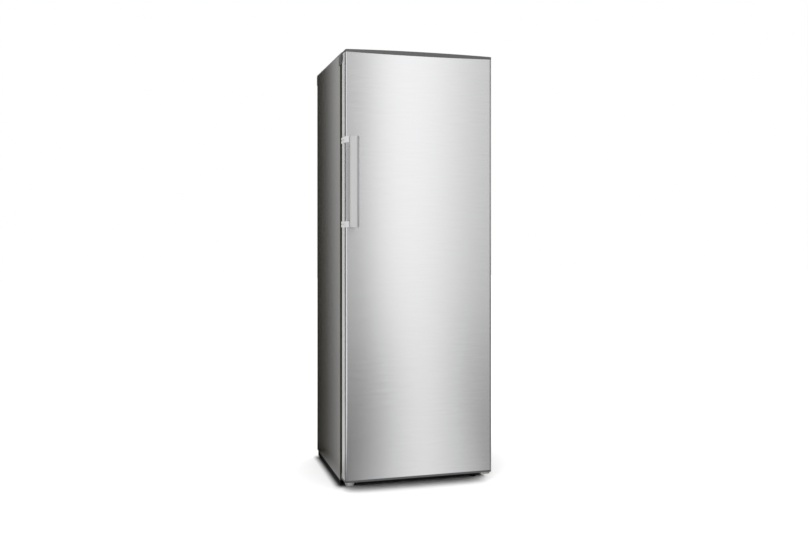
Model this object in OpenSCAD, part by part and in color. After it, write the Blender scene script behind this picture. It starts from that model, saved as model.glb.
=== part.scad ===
// Upright fridge with one steel door, hinged on the right.
// Millimetres. X runs to the right, Y to the back and Z up, and the origin is on the floor.

/* [Cabinet] */
// Width of the cabinet and of the door
cabinet_w = 595; // [560:5:640]
// Height of the top cover's upper face above the floor
cabinet_h = 1692; // [1600:4:1800]
// Depth of the cabinet from its front flange to its rear edge
cabinet_d = 506; // [480:2:560]
// Height of the side panels' lower edge above the floor
skirt_z = 27; // [22:1:32]
// Thickness of the painted outer sheet
wrap_t = 1; // [0.6:0.1:1.4]
// Width of the steel flange that the gasket closes on
flange_w = 36; // [34:1:38]
// Width of the hem that holds the back panel
hem_w = 12; // [8:1:16]
// Radius of the cabinet's upright front corners
wrap_r = 6; // [3:1:8]
// Thickness of the top cover
cover_t = 5; // [4:1:7]
// Height of the lugs that the top cover has over the four corners
lug_h = 46; // [36:2:52]
// How far the front lugs swell out past the side panels
lug_bulge = 4.5; // [4.2:0.1:6]
// How far the front lugs rise above the cover
lug_rise = 0; // [0:1:4]
// How far the front lug on the handle's side reaches over the gap behind the door
lug_fore = 34; // [20:1:35]
// How far the rear lugs stand out behind the cabinet
lug_back = 10; // [6:1:11]

/* [Insulation] */
// Thickness of each side wall from outer sheet to liner
wall_t = 44; // [42:1:52]
// Thickness of the roof
roof_t = 60; // [56:2:70]
// Thickness of the floor and of the step over the compressor
floor_t = 45; // [38:1:52]
// Thickness of the back wall
back_t = 50; // [40:1:60]
// Thickness of the moulded white liner
liner_t = 2; // [1.5:0.5:3]
// Height of the insulation's underside above the floor
foam_z = 50; // [48:1:54]
// Height of the compressor niche's roof above the floor
niche_h = 235; // [230:5:245]
// Depth of the compressor niche from the cabinet's rear edge
niche_d = 175; // [170:5:185]

/* [Door] */
// Thickness of the door from its steel face to its rear edge
door_t = 76; // [72:1:82]
// Gap between door and cabinet, which the gasket fills
door_gap = 18; // [16:1:20]
// How far the steel skin wraps back round the door's sides
skin_side = 57; // [48:1:62]
// Thickness of the stainless skin
skin_t = 1; // [0.6:0.1:1.4]
// Radius of the door's upright front corners
skin_r = 9; // [6:1:12]
// Height of the skin's lower edge above the floor
skin_z0 = 49; // [47:1:52]
// How far the skin's upper ends lie below the top cover's upper face
skin_drop = 10; // [8:1:12]
// How much lower the skin's upper edge is in its middle
skin_dip = 3.3; // [2:0.3:5]
// How much higher the top cap is in its middle
cap_crown = 4; // [2:0.5:6]
// Radius of the top cap's upper ends
cap_end_r = 3; // [2:1:8]
// Height of the bottom cap's visible band
band_h = 8; // [7:0.5:8]
// Depth to which the caps plug into the skin
plug_h = 12; // [10:1:16]
// Width of the side trims on the door's rear face
trim_w = 12; // [10:1:14]
// How far the gasket's outer edge lies inside the door's sides
seal_inset = 19; // [18.5:0.5:21]
// Width of the gasket
seal_w = 14; // [11:1:15]
// Radius of the gasket's corners
seal_r = 8; // [5:1:10]
// Gap between two faces that seat on each other
seat = 0.3; // [0.2:0.05:0.3]

/* [Door liner] */
// How far the liner's rim stands back from the door's rear edge
rim_d = 38; // [30:1:42]
// Width of the liner's rim
rim_w = 22; // [18:1:26]
// Gap between the rim and the cabinet's inner walls
rim_gap = 9; // [8:0.5:12]
// Depth of the liner's middle below the door's rear edge
recess_d = 14; // [8:1:20]
// Radius of the rim's corners
rim_r = 14; // [8:1:18]
// How far the bins reach back from the liner's middle
bin_d = 104; // [90:2:106]
// How far the lugs that carry a bin stand out of the liner
bin_lug = 7; // [5:1:8]
// Height of a door bin
bin_h = 78; // [60:2:90]
// Height of the bottle bin
bottle_bin_h = 112; // [100:2:130]
// Wall thickness of bins and crisper drawers
tray_t = 2.5; // [2:0.5:3]
// Height of the bottle bin's floor
bottle_bin_z = 150; // [140:5:170]
// Height of the lowest door bin's floor
bin_z0 = 560; // [520:10:600]
// Distance from one door bin's floor to the next
bin_pitch = 300; // [280:5:320]

/* [Hinges] */
// Distance of the hinge axis from the door's right side
axis_in = 18; // [17:0.5:18]
// Distance of the hinge axis behind the door's face
axis_y = 46; // [44:1:48]
// Radius of the hinge pins
pin_r = 4.5; // [4:0.5:5]
// Running clearance between a pin or shaft and its hole
run_gap = 0.06; // [0.04:0.01:0.1]
// Thickness of the upper hinge plate
plate_t = 3; // [2.5:0.5:4]
// Radius of the hinge arm's round end
arm_r = 12; // [10:1:13]
// Length of the pins inside the door
pin_l = 22; // [18:1:26]
// Height of the hinge cover above the top cover
hood_h = 5; // [4.5:0.5:6]
// Length of the screws that hold the hinge plates
screw_l = 14; // [10:1:18]
// Thickness of the lower hinge plate
foot_plate_t = 4; // [3:0.5:5]
// Height of the lip round the lower hinge plate
foot_lip_h = 8; // [6:1:10]

/* [Handle] */
// Distance of the handle bar from the door's left side
bar_inset = 8; // [5:1:14]
// Width of the handle bar
bar_w = 37; // [32:1:44]
// Thickness of the handle bar
bar_t = 12; // [10:1:15]
// How far the bar's front stands before the door's face
bar_reach = 50; // [44:1:60]
// Height of the bar's lower end above the floor
bar_z = 1014; // [900:10:1100]
// Length of the handle bar
bar_l = 344; // [300:4:400]
// Height of each bracket
strap_h = 22; // [18:1:26]
// How far the brackets stand proud of the door's side
strap_t = 4; // [3:0.2:4.2]

/* [Inside] */
// Thickness of the glass shelves
glass_t = 4; // [3:0.5:5]
// Height of the lowest shelf rib's upper face
rib_z0 = 341; // [341:1:346]
// Distance from one shelf rib to the next
rib_pitch = 65; // [60:1:66]
// Number of shelf ribs on each wall
rib_n = 19; // [17:1:19]
// How far a shelf rib stands out of the wall
rib_out = 6; // [5:1:7]
// Height of a shelf rib
rib_h = 8; // [6:1:10]
// Distance of the shelves' front edge behind the cabinet's front
shelf_y = 96; // [92:1:110]
// Height of the crisper drawers
crisper_h = 236; // [234:1:238]
// Distance of the crispers' front behind the cabinet's front
crisper_y = 98; // [96:1:110]
// Width of the control housing under the roof
housing_w = 190; // [160:5:220]
// Depth of the control housing
housing_d = 190; // [185:5:240]
// Height of the control housing
housing_h = 34; // [30:1:38]
// Radius of the thermostat knob
knob_r = 17; // [14:1:18]
// Travel of the door switch
switch_travel = 8; // [5:1:10]

/* [Evaporator] */
// Height of the evaporator's lower edge above the floor
evap_z0 = 700; // [500:20:800]
// Height of the evaporator plate
evap_h = 600; // [400:20:700]
// Distance of the evaporator from the liner's sides
evap_in = 60; // [40:5:120]

/* [Underside] */
// Radius of the front feet
foot_r = 19; // [16:1:20]
// Distance of each foot's centre from the cabinet's side
foot_in = 41.5; // [38:0.5:46]
// Height of the front feet
foot_h = 19; // [17:1:20]
// Radius of the feet's threaded stems
stem_r = 5; // [4:0.5:6]
// Radius of the rear rollers
roller_r = 12; // [10:1:13]
// Width of the rear rollers
roller_w = 18; // [14:1:22]
// Radius of the roller axles
axle_r = 2.5; // [2:0.5:4]

/* [Cooling] */
// Radius of the compressor's shell
comp_r = 74; // [66:1:76]
// Height of the compressor's shell
comp_h = 142; // [130:2:144]
// Distance of the compressor from the cabinet's middle
comp_x = 110; // [90:5:130]
// Height of the rubber mounts
mount_h = 10; // [8:1:12]
// Distance of the condenser tube behind the back panel
cond_off = 14; // [12:1:18]
// Radius of the condenser tube
cond_r = 2.4; // [2:0.2:3]
// Number of straight runs of the condenser tube
cond_n = 14; // [8:1:15]
// Distance from one condenser run to the next
cond_pitch = 62; // [56:1:66]
// Distance of the condenser's straight runs from the cabinet's sides
cond_in = 82.5; // [68:0.5:108]
// Height of the lowest condenser run
cond_z0 = 620; // [600:10:660]
// Number of condenser wires
wire_n = 36; // [20:1:44]
// Radius of the condenser wires
wire_r = 0.8; // [0.6:0.1:1]

/* [Hidden] */
$fn = 64;
cut = 1;
half_w = cabinet_w / 2;

// Stations from the door's face to the back
rear_edge_y = door_t;
front_y = door_t + door_gap;
back_y = front_y + cabinet_d;
axis_x = half_w - axis_in;

// Stations from the floor to the top
wrap_z1 = cabinet_h - cover_t;
skin_z1 = cabinet_h - skin_drop;
band_z0 = skin_z0 - band_h;

// Clear inside of the cabinet
in_x = half_w - wall_t;
in_z0 = foam_z + floor_t;
in_z1 = wrap_z1 - roof_t;
step_z = niche_h + floor_t;
in_y1 = back_y - back_t;
step_y = back_y - niche_d - floor_t;
sheet_t = 1;

// Door liner
bow_n = 24;
rim_x = in_x - rim_gap;
rim_z0 = in_z0 + rim_gap;
rim_z1 = in_z1 - rim_gap;
rim_y = rear_edge_y + rim_d;
recess_y = rear_edge_y - recess_d;
bin_half = rim_x - rim_w - seat;
bin_body = bin_half - bin_lug - 1;
bins = [[bottle_bin_z, bottle_bin_h], [bin_z0, bin_h], [bin_z0 + bin_pitch, bin_h],
    [bin_z0 + 2 * bin_pitch, bin_h]];
seal_z0 = skin_z0 + 15;
seal_z1 = skin_z1 - 15;

// Hinge parts
bush_flange_r = pin_r + 4;
bush_flange_t = 1.5;
pocket_z = wrap_z1 - bush_flange_t - seat;
lower_plate_z1 = band_z0 - seat;
screw_r = 3;

// Handle
bar_x0 = -half_w + bar_inset;
bar_back_y = -bar_reach + bar_t;

// Condenser
cond_y = back_y + cond_off;
wire_y = cond_y + cond_r + wire_r;
drier_r = 8;
evap_t = 2;
cond_w = cabinet_w - 2 * cond_in;
cond_x = cond_w / 2;
drier_x = -cond_x - drier_r;
drier_drop = 40;
bend_r = cond_pitch / 2;
cond_z1 = cond_z0 + (cond_n - 1) * cond_pitch;
wire_step = (cond_w - 20) / (wire_n - 1);
clip_w = wire_step - 2 * wire_r - 1.6;

// The origin is midway between the handle's front and the filter drier's back
front_reach = -bar_reach;
rear_reach = max(wire_y + wire_r, cond_y + drier_r);
mid_y = (front_reach + rear_reach) / 2;

// Underside
rail_z0 = skirt_z + 1;
rail_w = 30;
rail_t = 1.5;
apron_z = 5;
lug_clear = 0.5;
lug_edge = 0.3;
foot_x = half_w - foot_in;
foot_y = front_y + foot_r + 2;
apron_y = foot_y + foot_r + 4;
roller_y = back_y - roller_r - 12;
roller_x = half_w - wrap_t - rail_t - 16;
cradle_z = 34;
cradle_y0 = back_y - niche_d + 12;
cradle_y1 = back_y - 12;
comp_y = back_y - niche_d / 2;
comp_z = cradle_z + mount_h;
mount_x = 62;
mount_y = 52;
outlet_z = comp_z + 102;
tray_z = comp_z + comp_h + seat;
drain_y = in_y1 - 18;
drain_r = 7;
comp_edge = 26;
comp_plate_t = 3;
comp_plate_lip = 14;
stub_r = 4;
stub_l = 10;
suction_z = comp_z + 52;
relay_w = 46;
relay_half_d = 32;
relay_h = 50;
tray_w = 164;
tray_front = 60;
tray_back = 66;
tray_h = 24;
dish_t = 2;
inlet_x0 = 30 - half_w + wrap_t + rail_t + 8;
inlet_w = 64;
inlet_d = 42;
inlet_z0 = 84;
inlet_z1 = inlet_z0 + 72;
gland_x = inlet_x0 + inlet_w / 2;
gland_z = inlet_z0 + 24;
gland_r = 9;
gland_l = 16;
gland_bore_r = 4;
bead_pitch = 110;
bead_low = 60;
bead_high = 80;

// Helpers

module place() {
    translate([0, -mid_y, 0]) children();
}

// A block between two corners
module block(a, b) {
    translate(a) cube(b - a);
}

// A rectangle between two corners with round corners
module round_rect(a, b, r) {
    translate([a[0] + r, a[1]]) square([b[0] - a[0] - 2 * r, b[1] - a[1]]);
    translate([a[0], a[1] + r]) square([b[0] - a[0], b[1] - a[1] - 2 * r]);
    for (x = [a[0] + r, b[0] - r], y = [a[1] + r, b[1] - r])
        translate([x, y]) circle(r);
}

// A rectangle whose two front corners are round
module front_round(x, y0, y1, r) {
    translate([-x, y0 + r]) square([2 * x, y1 - y0 - r]);
    translate([r - x, y0]) square([2 * (x - r), 2 * r]);
    for (side = [-1, 1])
        translate([side * (x - r), y0 + r]) circle(r);
}

// Extrudes an outline drawn in X and Z from y0 to y1
module along_y(y0, y1) {
    translate([0, y1, 0]) rotate([90, 0, 0]) linear_extrude(y1 - y0) children();
}

// Extrudes an outline drawn in Y and Z from x0 to x1
module along_x(x0, x1) {
    translate([x0, 0, 0]) rotate([90, 0, 90]) linear_extrude(x1 - x0) children();
}

// A rod between two points
module rod(a, b, r) {
    d = b - a;
    l = norm(d);
    translate(a) rotate([0, acos(d[2] / l), atan2(d[1], d[0])]) cylinder(h = l, r = r);
}

// A pipe through a list of points, with round corners
module pipe(points, r) {
    for (i = [0 : len(points) - 2])
        rod(points[i], points[i + 1], r);
    for (i = [1 : len(points) - 2])
        translate(points[i]) sphere(r);
}

// The radius of an arc that rises by rise over a chord of the cabinet's width
function arc_r(rise) = (half_w * half_w + rise * rise) / (2 * rise);

// How far such an arc has turned from its middle tangent at distance x
function bow(x, rise) = arc_r(rise) - sqrt(pow(arc_r(rise), 2) - x * x);

// Cabinet shell

module outer_wrap() {
    color("dimgray") place() difference() {
        translate([0, 0, skirt_z]) linear_extrude(wrap_z1 - skirt_z)
            front_round(half_w, front_y, back_y, wrap_r);
        translate([0, 0, skirt_z - cut]) linear_extrude(wrap_z1 - skirt_z + cut - wrap_t)
            front_round(half_w - wrap_t, front_y + wrap_t, back_y - wrap_t, wrap_r - wrap_t);
        block([flange_w - half_w, front_y - cut, skirt_z - cut],
            [half_w - flange_w, front_y + 2 * cut, wrap_z1 - flange_w]);
        block([hem_w - half_w, back_y - 2 * cut, skirt_z - cut],
            [half_w - hem_w, back_y + cut, wrap_z1 - hem_w]);
        top_screw_bores();
    }
}

module back_panel() {
    bead_h = 3;
    bead_w = 18;
    color("silver") place() {
        block([wrap_t - half_w, back_y - wrap_t - sheet_t, niche_h],
            [half_w - wrap_t, back_y - wrap_t, wrap_z1 - wrap_t]);
        for (x = [-bead_pitch, 0, bead_pitch])
            along_y(back_y - wrap_t, back_y - wrap_t + bead_h)
                round_rect([x - bead_w / 2, niche_h + bead_low],
                    [x + bead_w / 2, wrap_z1 - bead_high], bead_w / 2 - 1);
    }
}

module niche_panel() {
    x = half_w - wrap_t;
    y0 = back_y - niche_d;
    color("lightgray") place() difference() {
        block([-x, y0, foam_z], [x, back_y - wrap_t - sheet_t, niche_h]);
        block([-x - cut, y0 + sheet_t, foam_z - cut],
            [x + cut, back_y, niche_h - sheet_t]);
        translate([comp_x, drain_y, niche_h - 2 * sheet_t])
            cylinder(h = 4 * sheet_t, r = drain_r + seat);
    }
}

// The inside of the cabinet, grown by g
module cavity(g, y0) {
    block([-in_x - g, y0, step_z - g], [in_x + g, in_y1 + g, in_z1 + g]);
    block([-in_x - g, y0, in_z0 - g], [in_x + g, step_y + g, step_z + g]);
}

module drain_bore(r) {
    translate([comp_x, drain_y, niche_h - 10]) cylinder(h = floor_t + 20, r = r);
}

// The liner's front plate, which closes the gap between the steel flanges
module liner_plate() {
    x = half_w - flange_w;
    block([-x, front_y, foam_z + flange_w], [x, front_y + liner_t, wrap_z1 - flange_w]);
}

module foam_insulation() {
    x = half_w - wrap_t;
    y1 = back_y - wrap_t - sheet_t;
    color("khaki") place() difference() {
        translate([0, 0, foam_z]) linear_extrude(wrap_z1 - wrap_t - foam_z)
            front_round(x, front_y + wrap_t, y1, wrap_r - wrap_t);
        cavity(liner_t, front_y);
        liner_plate();
        top_screw_bores();
        low_screw_bores();
        block([-x - cut, back_y - niche_d, foam_z - cut], [x + cut, y1 + cut, niche_h]);
        evaporator_shape();
        drain_bore(drain_r + seat);
    }
}

module inner_liner() {
    color("white") place() {
        difference() {
            union() {
                liner_plate();
                cavity(liner_t, front_y);
            }
            cavity(0, front_y - cut);
            drain_bore(drain_r + seat);
        }
        for (i = [0 : rib_n - 1], side = [-1, 1])
            shelf_rib(side, rib_z0 + i * rib_pitch);
    }
}

// One shelf rib, with its upper face at height z
module shelf_rib(side, z) {
    y0 = front_y + shelf_y;
    near = side * (in_x + liner_t / 2);
    far = side * (in_x - rib_out);
    translate([0, 0, z - rib_h]) linear_extrude(rib_h)
        polygon([[near, y0 - 8], [side * in_x, y0 - 8], [far, y0], [far, in_y1 - 8],
            [near, in_y1 - 8]]);
}

// Top cover with a lug over each corner

module top_cover() {
    color("#4a4a4c") place() {
        difference() {
            block([-half_w, front_y, wrap_z1], [half_w, back_y, cabinet_h]);
            hinge_seat(1);
        }
        for (side = [-1, 1]) {
            front_lug(side);
            rear_lug(side);
        }
    }
}

// Clears the upper hinge plate out of the cover, with gap g round it
module hinge_seat(g) {
    block([axis_x - 60 - g, front_y - cut, wrap_z1 - cut],
        [half_w - 7 + g, front_y + 72 + g, cabinet_h + cut]);
}

// A leaf shaped swelling that hides the cabinet's front corner. On the handle's side it
// also covers the gap behind the door, and on the other the door's corner swings there.
module front_lug(side) {
    lug_y = 26;
    fore = side < 0 ? lug_fore : 0;
    mirror([side < 0 ? 1 : 0, 0, 0])
        translate([half_w, front_y, cabinet_h + lug_rise - lug_h]) intersection() {
            linear_extrude(lug_h) polygon(lug_plan(lug_y, fore));
            along_y(-fore - 1, lug_y + 1) polygon(lug_side());
        }
}

// Outline of a front lug from above, which fades out towards the back
function lug_plan(lug_y, fore) = concat(
    fore > 0
        ? [[0, 2], [lug_clear, 0], [lug_clear, -fore], [lug_bulge - 2, -fore],
            [lug_bulge, 3 - fore]]
        : [[0, 0]],
    [for (t = [0 : 0.1 : 1])
        [2 * lug_edge + (lug_bulge - 2 * lug_edge) * (1 - t * t), lug_y * t]],
    [[0, lug_y]]);

// Leaf shaped outline of a front lug from the front
function lug_side() = concat(
    [[0, 0]],
    [for (t = [0 : 0.0625 : 1])
        [lug_edge + (lug_bulge - lug_edge) * (1 - pow(2 * t - 1, 2)), lug_h * t]],
    [[0, lug_h]]);

// A rear corner lug that keeps the condenser off the wall
module rear_lug(side) {
    lug_x = 34;
    x0 = side > 0 ? half_w - lug_x : -half_w;
    z0 = cabinet_h - lug_h;
    difference() {
        along_y(back_y, back_y + lug_back)
            round_rect([x0, z0], [x0 + lug_x, cabinet_h], 5);
        along_y(back_y + 3, back_y + lug_back + cut)
            round_rect([x0 + 5, z0 + 5], [x0 + lug_x - 5, cabinet_h - 5], 3);
    }
}

// Underside

module base_frame() {
    x1 = half_w - wrap_t;
    color("#3c3c3e") place() difference() {
        union() {
            for (side = [-1, 1])
                base_rail(side);
            block([flange_w - half_w, front_y, foam_z],
                [half_w - flange_w, front_y + wrap_t, foam_z + flange_w]);
            block([-x1, front_y + wrap_r, foam_z - rail_t],
                [x1, back_y - niche_d, foam_z]);
            block([flange_w - half_w, front_y, foam_z - rail_t],
                [half_w - flange_w, front_y + wrap_r, foam_z]);
            for (side = [-1, 1])
                translate([side * foot_x, foot_y, rail_z0]) cylinder(h = foam_z - rail_z0, r = 11);
        }
        for (side = [-1, 1])
            translate([side * foot_x, foot_y, rail_z0 - cut])
                cylinder(h = foam_z - rail_z0, r = stem_r + run_gap);
        for (side = [-1, 1])
            rod([side * roller_x - rail_w, roller_y, roller_r],
                [side * roller_x + rail_w, roller_y, roller_r], axle_r + run_gap);
        low_screw_bores();
    }
}

// A rail down one side, with the apron that closes the cabinet's underside and the two
// cheeks that hold a rear roller
module base_rail(side) {
    x1 = half_w - wrap_t;
    cheek_x = roller_w / 2 + 1;
    mirror([side < 0 ? 1 : 0, 0, 0]) {
        block([x1 - rail_t, front_y + wrap_r, rail_z0], [x1, back_y - 14, foam_z]);
        block([x1 - rail_w, front_y + wrap_r, rail_z0],
            [x1, back_y - 14, rail_z0 + rail_t]);
        block([x1 - 1 - rail_t, front_y + wrap_r, apron_z],
            [x1 - 1, back_y - 14, rail_z0 + rail_t]);
        block([foot_x - foot_r - 4, apron_y, apron_z],
            [x1 - 1, apron_y + rail_t, rail_z0 + rail_t]);
        for (s = [-1, 1])
            along_x(roller_x + s * cheek_x - (s < 0 ? rail_t : 0),
                roller_x + s * cheek_x + (s < 0 ? 0 : rail_t))
                polygon([[roller_y - 12, rail_z0 + rail_t], [roller_y - 5, roller_r - 6],
                    [roller_y + 5, roller_r - 6], [roller_y + 11, rail_z0 + rail_t]]);
    }
}

module plinth() {
    plinth_x = foot_x - foot_r - 6;
    plinth_y = front_y + 2;
    plinth_z0 = 5;
    color("#161616") place() difference() {
        block([-plinth_x, plinth_y, plinth_z0], [plinth_x, plinth_y + 12, foam_z - rail_t]);
        block([3 - plinth_x, plinth_y + 3, plinth_z0 - cut],
            [plinth_x - 3, plinth_y + 12 + cut, foam_z - rail_t - 3]);
        for (x = [-plinth_x + 30 : 22 : plinth_x - 30])
            along_y(plinth_y - cut, plinth_y + 3 + cut)
                round_rect([x - 7, 18], [x + 7, 24], 2);
    }
}

// A levelling foot: knurled disc, collar and threaded stem
module foot(side) {
    place() translate([side * foot_x, foot_y, 0]) {
        cylinder(h = 4, r = foot_r - 2);
        difference() {
            translate([0, 0, 4]) cylinder(h = foot_h - 11, r = foot_r - 0.6);
            for (a = [0 : 30 : 330])
                rotate(a) translate([foot_r + 0.6, 0, 3]) cylinder(h = foot_h - 9, r = 2.2);
        }
        translate([0, 0, foot_h - 7]) cylinder(h = 7, r = foot_r);
        translate([0, 0, foot_h]) cylinder(h = foam_z - rail_t - 4 - foot_h, r = stem_r);
    }
}

module foot_left() {
    color("#a9a9aa") foot(-1);
}

module foot_right() {
    color("#1d1d1e") foot(1);
}

// A rear roller with its bore and a light tread groove
module roller(side) {
    color("#2b2b2b") place()
        translate([side * roller_x - roller_w / 2, roller_y, roller_r]) rotate([0, 90, 0])
            difference() {
                cylinder(h = roller_w, r = roller_r);
                translate([0, 0, -cut]) cylinder(h = roller_w + 2 * cut, r = axle_r + run_gap);
                translate([0, 0, roller_w / 2 - 2]) difference() {
                    cylinder(h = 4, r = roller_r + cut);
                    cylinder(h = 4, r = roller_r - 1.2);
                }
            }
}

module roller_left() {
    roller(-1);
}

module roller_right() {
    roller(1);
}

module roller_axles() {
    reach = roller_w / 2 + 4;
    color("silver") place() for (side = [-1, 1])
        rod([side * roller_x - reach, roller_y, roller_r],
            [side * roller_x + reach, roller_y, roller_r], axle_r);
}

// Compressor niche

module compressor_rail() {
    x1 = roller_x - roller_w / 2 - 4;
    color("#3c3c3e") place() difference() {
        union() {
            block([-x1, cradle_y0, cradle_z - 2], [x1, cradle_y1, cradle_z]);
            for (y = [cradle_y0, cradle_y1 - 2])
                block([-x1, y, cradle_z - 14], [x1, y + 2, cradle_z]);
            for (side = [-1, 1])
                block([side > 0 ? x1 - 2 : -half_w + wrap_t + rail_t, cradle_y0, cradle_z - 2],
                    [side > 0 ? half_w - wrap_t - rail_t : 2 - x1, cradle_y0 + 40, cradle_z]);
        }
        mount_spots() translate([0, 0, cradle_z - 3]) cylinder(h = 4, r = screw_r + run_gap);
    }
}

module mount_spots() {
    for (sx = [-1, 1], sy = [-1, 1])
        translate([comp_x + sx * mount_x, comp_y + sy * mount_y, 0]) children();
}

module compressor() {
    z0 = comp_z + comp_plate_t;
    x = mount_x + comp_plate_lip;
    y = mount_y + comp_plate_lip;
    color("#1b1b1c") place() {
        translate([comp_x, comp_y, 0]) {
            rotate_extrude() {
                translate([0, z0]) square([comp_r - comp_edge, comp_h - comp_plate_t]);
                translate([0, z0 + comp_edge])
                    square([comp_r, comp_h - comp_plate_t - 2 * comp_edge]);
                for (z = [z0 + comp_edge, comp_z + comp_h - comp_edge])
                    translate([comp_r - comp_edge, z]) circle(comp_edge);
            }
            translate([0, 0, comp_z + comp_h * 0.62]) cylinder(h = 5, r = comp_r + 3);
            rod([8 - comp_r, 0, suction_z], [-comp_r - stub_l, 0, suction_z], stub_r);
            rod([comp_r - 8, 0, outlet_z], [comp_r + stub_l, 0, outlet_z], stub_r);
        }
        difference() {
            translate([0, 0, comp_z]) linear_extrude(comp_plate_t)
                round_rect([comp_x - x, comp_y - y], [comp_x + x, comp_y + y], 12);
            mount_spots() translate([0, 0, comp_z - cut])
                cylinder(h = comp_plate_t + 2 * cut, r = screw_r + run_gap);
        }
    }
}

module compressor_mounts() {
    color("#222222") place() mount_spots() difference() {
        translate([0, 0, cradle_z]) cylinder(h = mount_h, r = 11);
        translate([0, 0, cradle_z - cut]) cylinder(h = mount_h + 2 * cut, r = screw_r + run_gap);
    }
}

module relay_box() {
    x0 = comp_x + comp_r + seat;
    color("#2c2c2e") place() translate([0, 0, comp_z + 30]) linear_extrude(relay_h)
        round_rect([x0, comp_y - relay_half_d], [x0 + relay_w, comp_y + relay_half_d], 4);
}

// The mains inlet: a box on the niche's wall with a gland for the cord
module mains_inlet() {
    y0 = back_y - niche_d + sheet_t;
    y1 = y0 + inlet_d;
    color("#1d1d1e") place() difference() {
        union() {
            along_y(y0, y1)
                round_rect([inlet_x0, inlet_z0], [inlet_x0 + inlet_w, inlet_z1], 5);
            rod([gland_x, y1 - cut, gland_z], [gland_x, y1 + gland_l, gland_z], gland_r);
            rod([gland_x, y1 - cut, gland_z], [gland_x, y1 + 5, gland_z], gland_r + 3);
        }
        rod([gland_x, y1 - 12, gland_z], [gland_x, y1 + gland_l + 2, gland_z], gland_bore_r);
    }
}

module evaporating_tray() {
    color("#d9d9d6") place() difference() {
        translate([0, 0, tray_z]) linear_extrude(tray_h) tray_outline(0, 16);
        translate([0, 0, tray_z + dish_t]) linear_extrude(tray_h) tray_outline(dish_t, 14);
    }
}

// The tray's plan, taken in by g
module tray_outline(g, r) {
    round_rect([comp_x - tray_w / 2 + g, comp_y - tray_front + g],
        [comp_x + tray_w / 2 - g, comp_y + tray_back - g], r);
}

module drain_hose() {
    color("#c8c8c4") place() translate([comp_x, drain_y, 0]) difference() {
        union() {
            translate([0, 0, tray_z + 6]) cylinder(h = step_z - tray_z - 6, r = drain_r);
            translate([0, 0, step_z + seat]) cylinder(h = 2, r = drain_r + 6);
            translate([0, 0, step_z - 1]) cylinder(h = 2, r = drain_r);
        }
        translate([0, 0, tray_z]) cylinder(h = step_z - tray_z + 6, r = drain_r - 2);
    }
}

// Condenser on the back

module condenser_tube() {
    inlet_x = cond_x + bend_r + 8;
    last = cond_n - 1;
    far = last % 2 == 0 ? 1 : -1;
    color("#202022") place() {
        for (i = [0 : last])
            rod([-cond_x, cond_y, cond_z0 + i * cond_pitch],
                [cond_x, cond_y, cond_z0 + i * cond_pitch], cond_r);
        for (i = [0 : last - 1])
            tube_bend(i % 2 == 0 ? 1 : -1, cond_z0 + (i + 0.5) * cond_pitch);
        pipe([[far * cond_x, cond_y, cond_z1], [far * cond_x, cond_y, cond_z1 + 20],
            [inlet_x, cond_y, cond_z1 + 20], [inlet_x, cond_y, outlet_z],
            [inlet_x, comp_y, outlet_z], [comp_x + comp_r + stub_l, comp_y, outlet_z]], cond_r);
        pipe([[-cond_x, cond_y, cond_z0], [drier_x, cond_y, cond_z0],
            [drier_x, cond_y, cond_z0 - drier_drop]], cond_r);
    }
}

// A half turn that joins two runs at one side
module tube_bend(side, z) {
    translate([side * cond_x, cond_y, z]) rotate([90, 0, 0]) rotate(side > 0 ? -90 : 90)
        rotate_extrude(angle = 180) translate([bend_r, 0]) circle(cond_r);
}

module condenser_wires() {
    color("#202022") place() for (i = [0 : wire_n - 1])
        rod([10 - cond_x + i * wire_step, wire_y, cond_z0 - 12],
            [10 - cond_x + i * wire_step, wire_y, cond_z1 + 12], wire_r);
}

// Clips that hold the tube off the back panel, each between two wires
module condenser_clips() {
    clip_x = cond_x - 10 - 1.5 * wire_step;
    color("#1d1d1e") place() for (x = [-clip_x, clip_x], i = [1, cond_n - 2])
        difference() {
            along_y(back_y - wrap_t, cond_y + cond_r + 2)
                translate([x, cond_z0 + i * cond_pitch]) square([clip_w, 14], center = true);
            rod([x - 8, cond_y, cond_z0 + i * cond_pitch],
                [x + 8, cond_y, cond_z0 + i * cond_pitch], cond_r + run_gap);
            block([x - 8, cond_y, cond_z0 + i * cond_pitch - 1.5],
                [x + 8, cond_y + cond_r + 4, cond_z0 + i * cond_pitch + 1.5]);
        }
}

module filter_drier() {
    z1 = cond_z0 - drier_drop;
    color("#b5713f") place() translate([drier_x, cond_y, 0]) {
        translate([0, 0, z1 - 88]) cylinder(h = 76, r = drier_r);
        translate([0, 0, z1 - 12]) cylinder(h = 8, r1 = drier_r, r2 = 3.2);
        translate([0, 0, z1 - 4]) cylinder(h = 4, r = 3.2);
        translate([0, 0, z1 - 96]) cylinder(h = 8, r1 = cond_r, r2 = drier_r);
    }
}

module refrigerant_pipes() {
    stub_x = comp_x - comp_r - stub_l;
    drier_z0 = cond_z0 - drier_drop - 96;
    color("#a8683c") place() {
        pipe([[stub_x, comp_y, suction_z], [stub_x - 30, comp_y, suction_z],
            [stub_x - 30, comp_y, niche_h - 20], [stub_x - 90, comp_y, niche_h - 20],
            [stub_x - 90, comp_y, niche_h - sheet_t]], 3.2);
        pipe([[drier_x, cond_y, drier_z0], [drier_x, cond_y, niche_h - 30],
            [drier_x, back_y - 60, niche_h - 30], [drier_x, back_y - 60, niche_h - sheet_t]],
            1.6);
    }
}

module evaporator_shape() {
    block([evap_in - in_x, in_y1 + liner_t, evap_z0],
        [in_x - evap_in, in_y1 + liner_t + evap_t, evap_z0 + evap_h]);
}

module evaporator_plate() {
    color("#c9ccd0") place() evaporator_shape();
}

// Control housing

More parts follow.
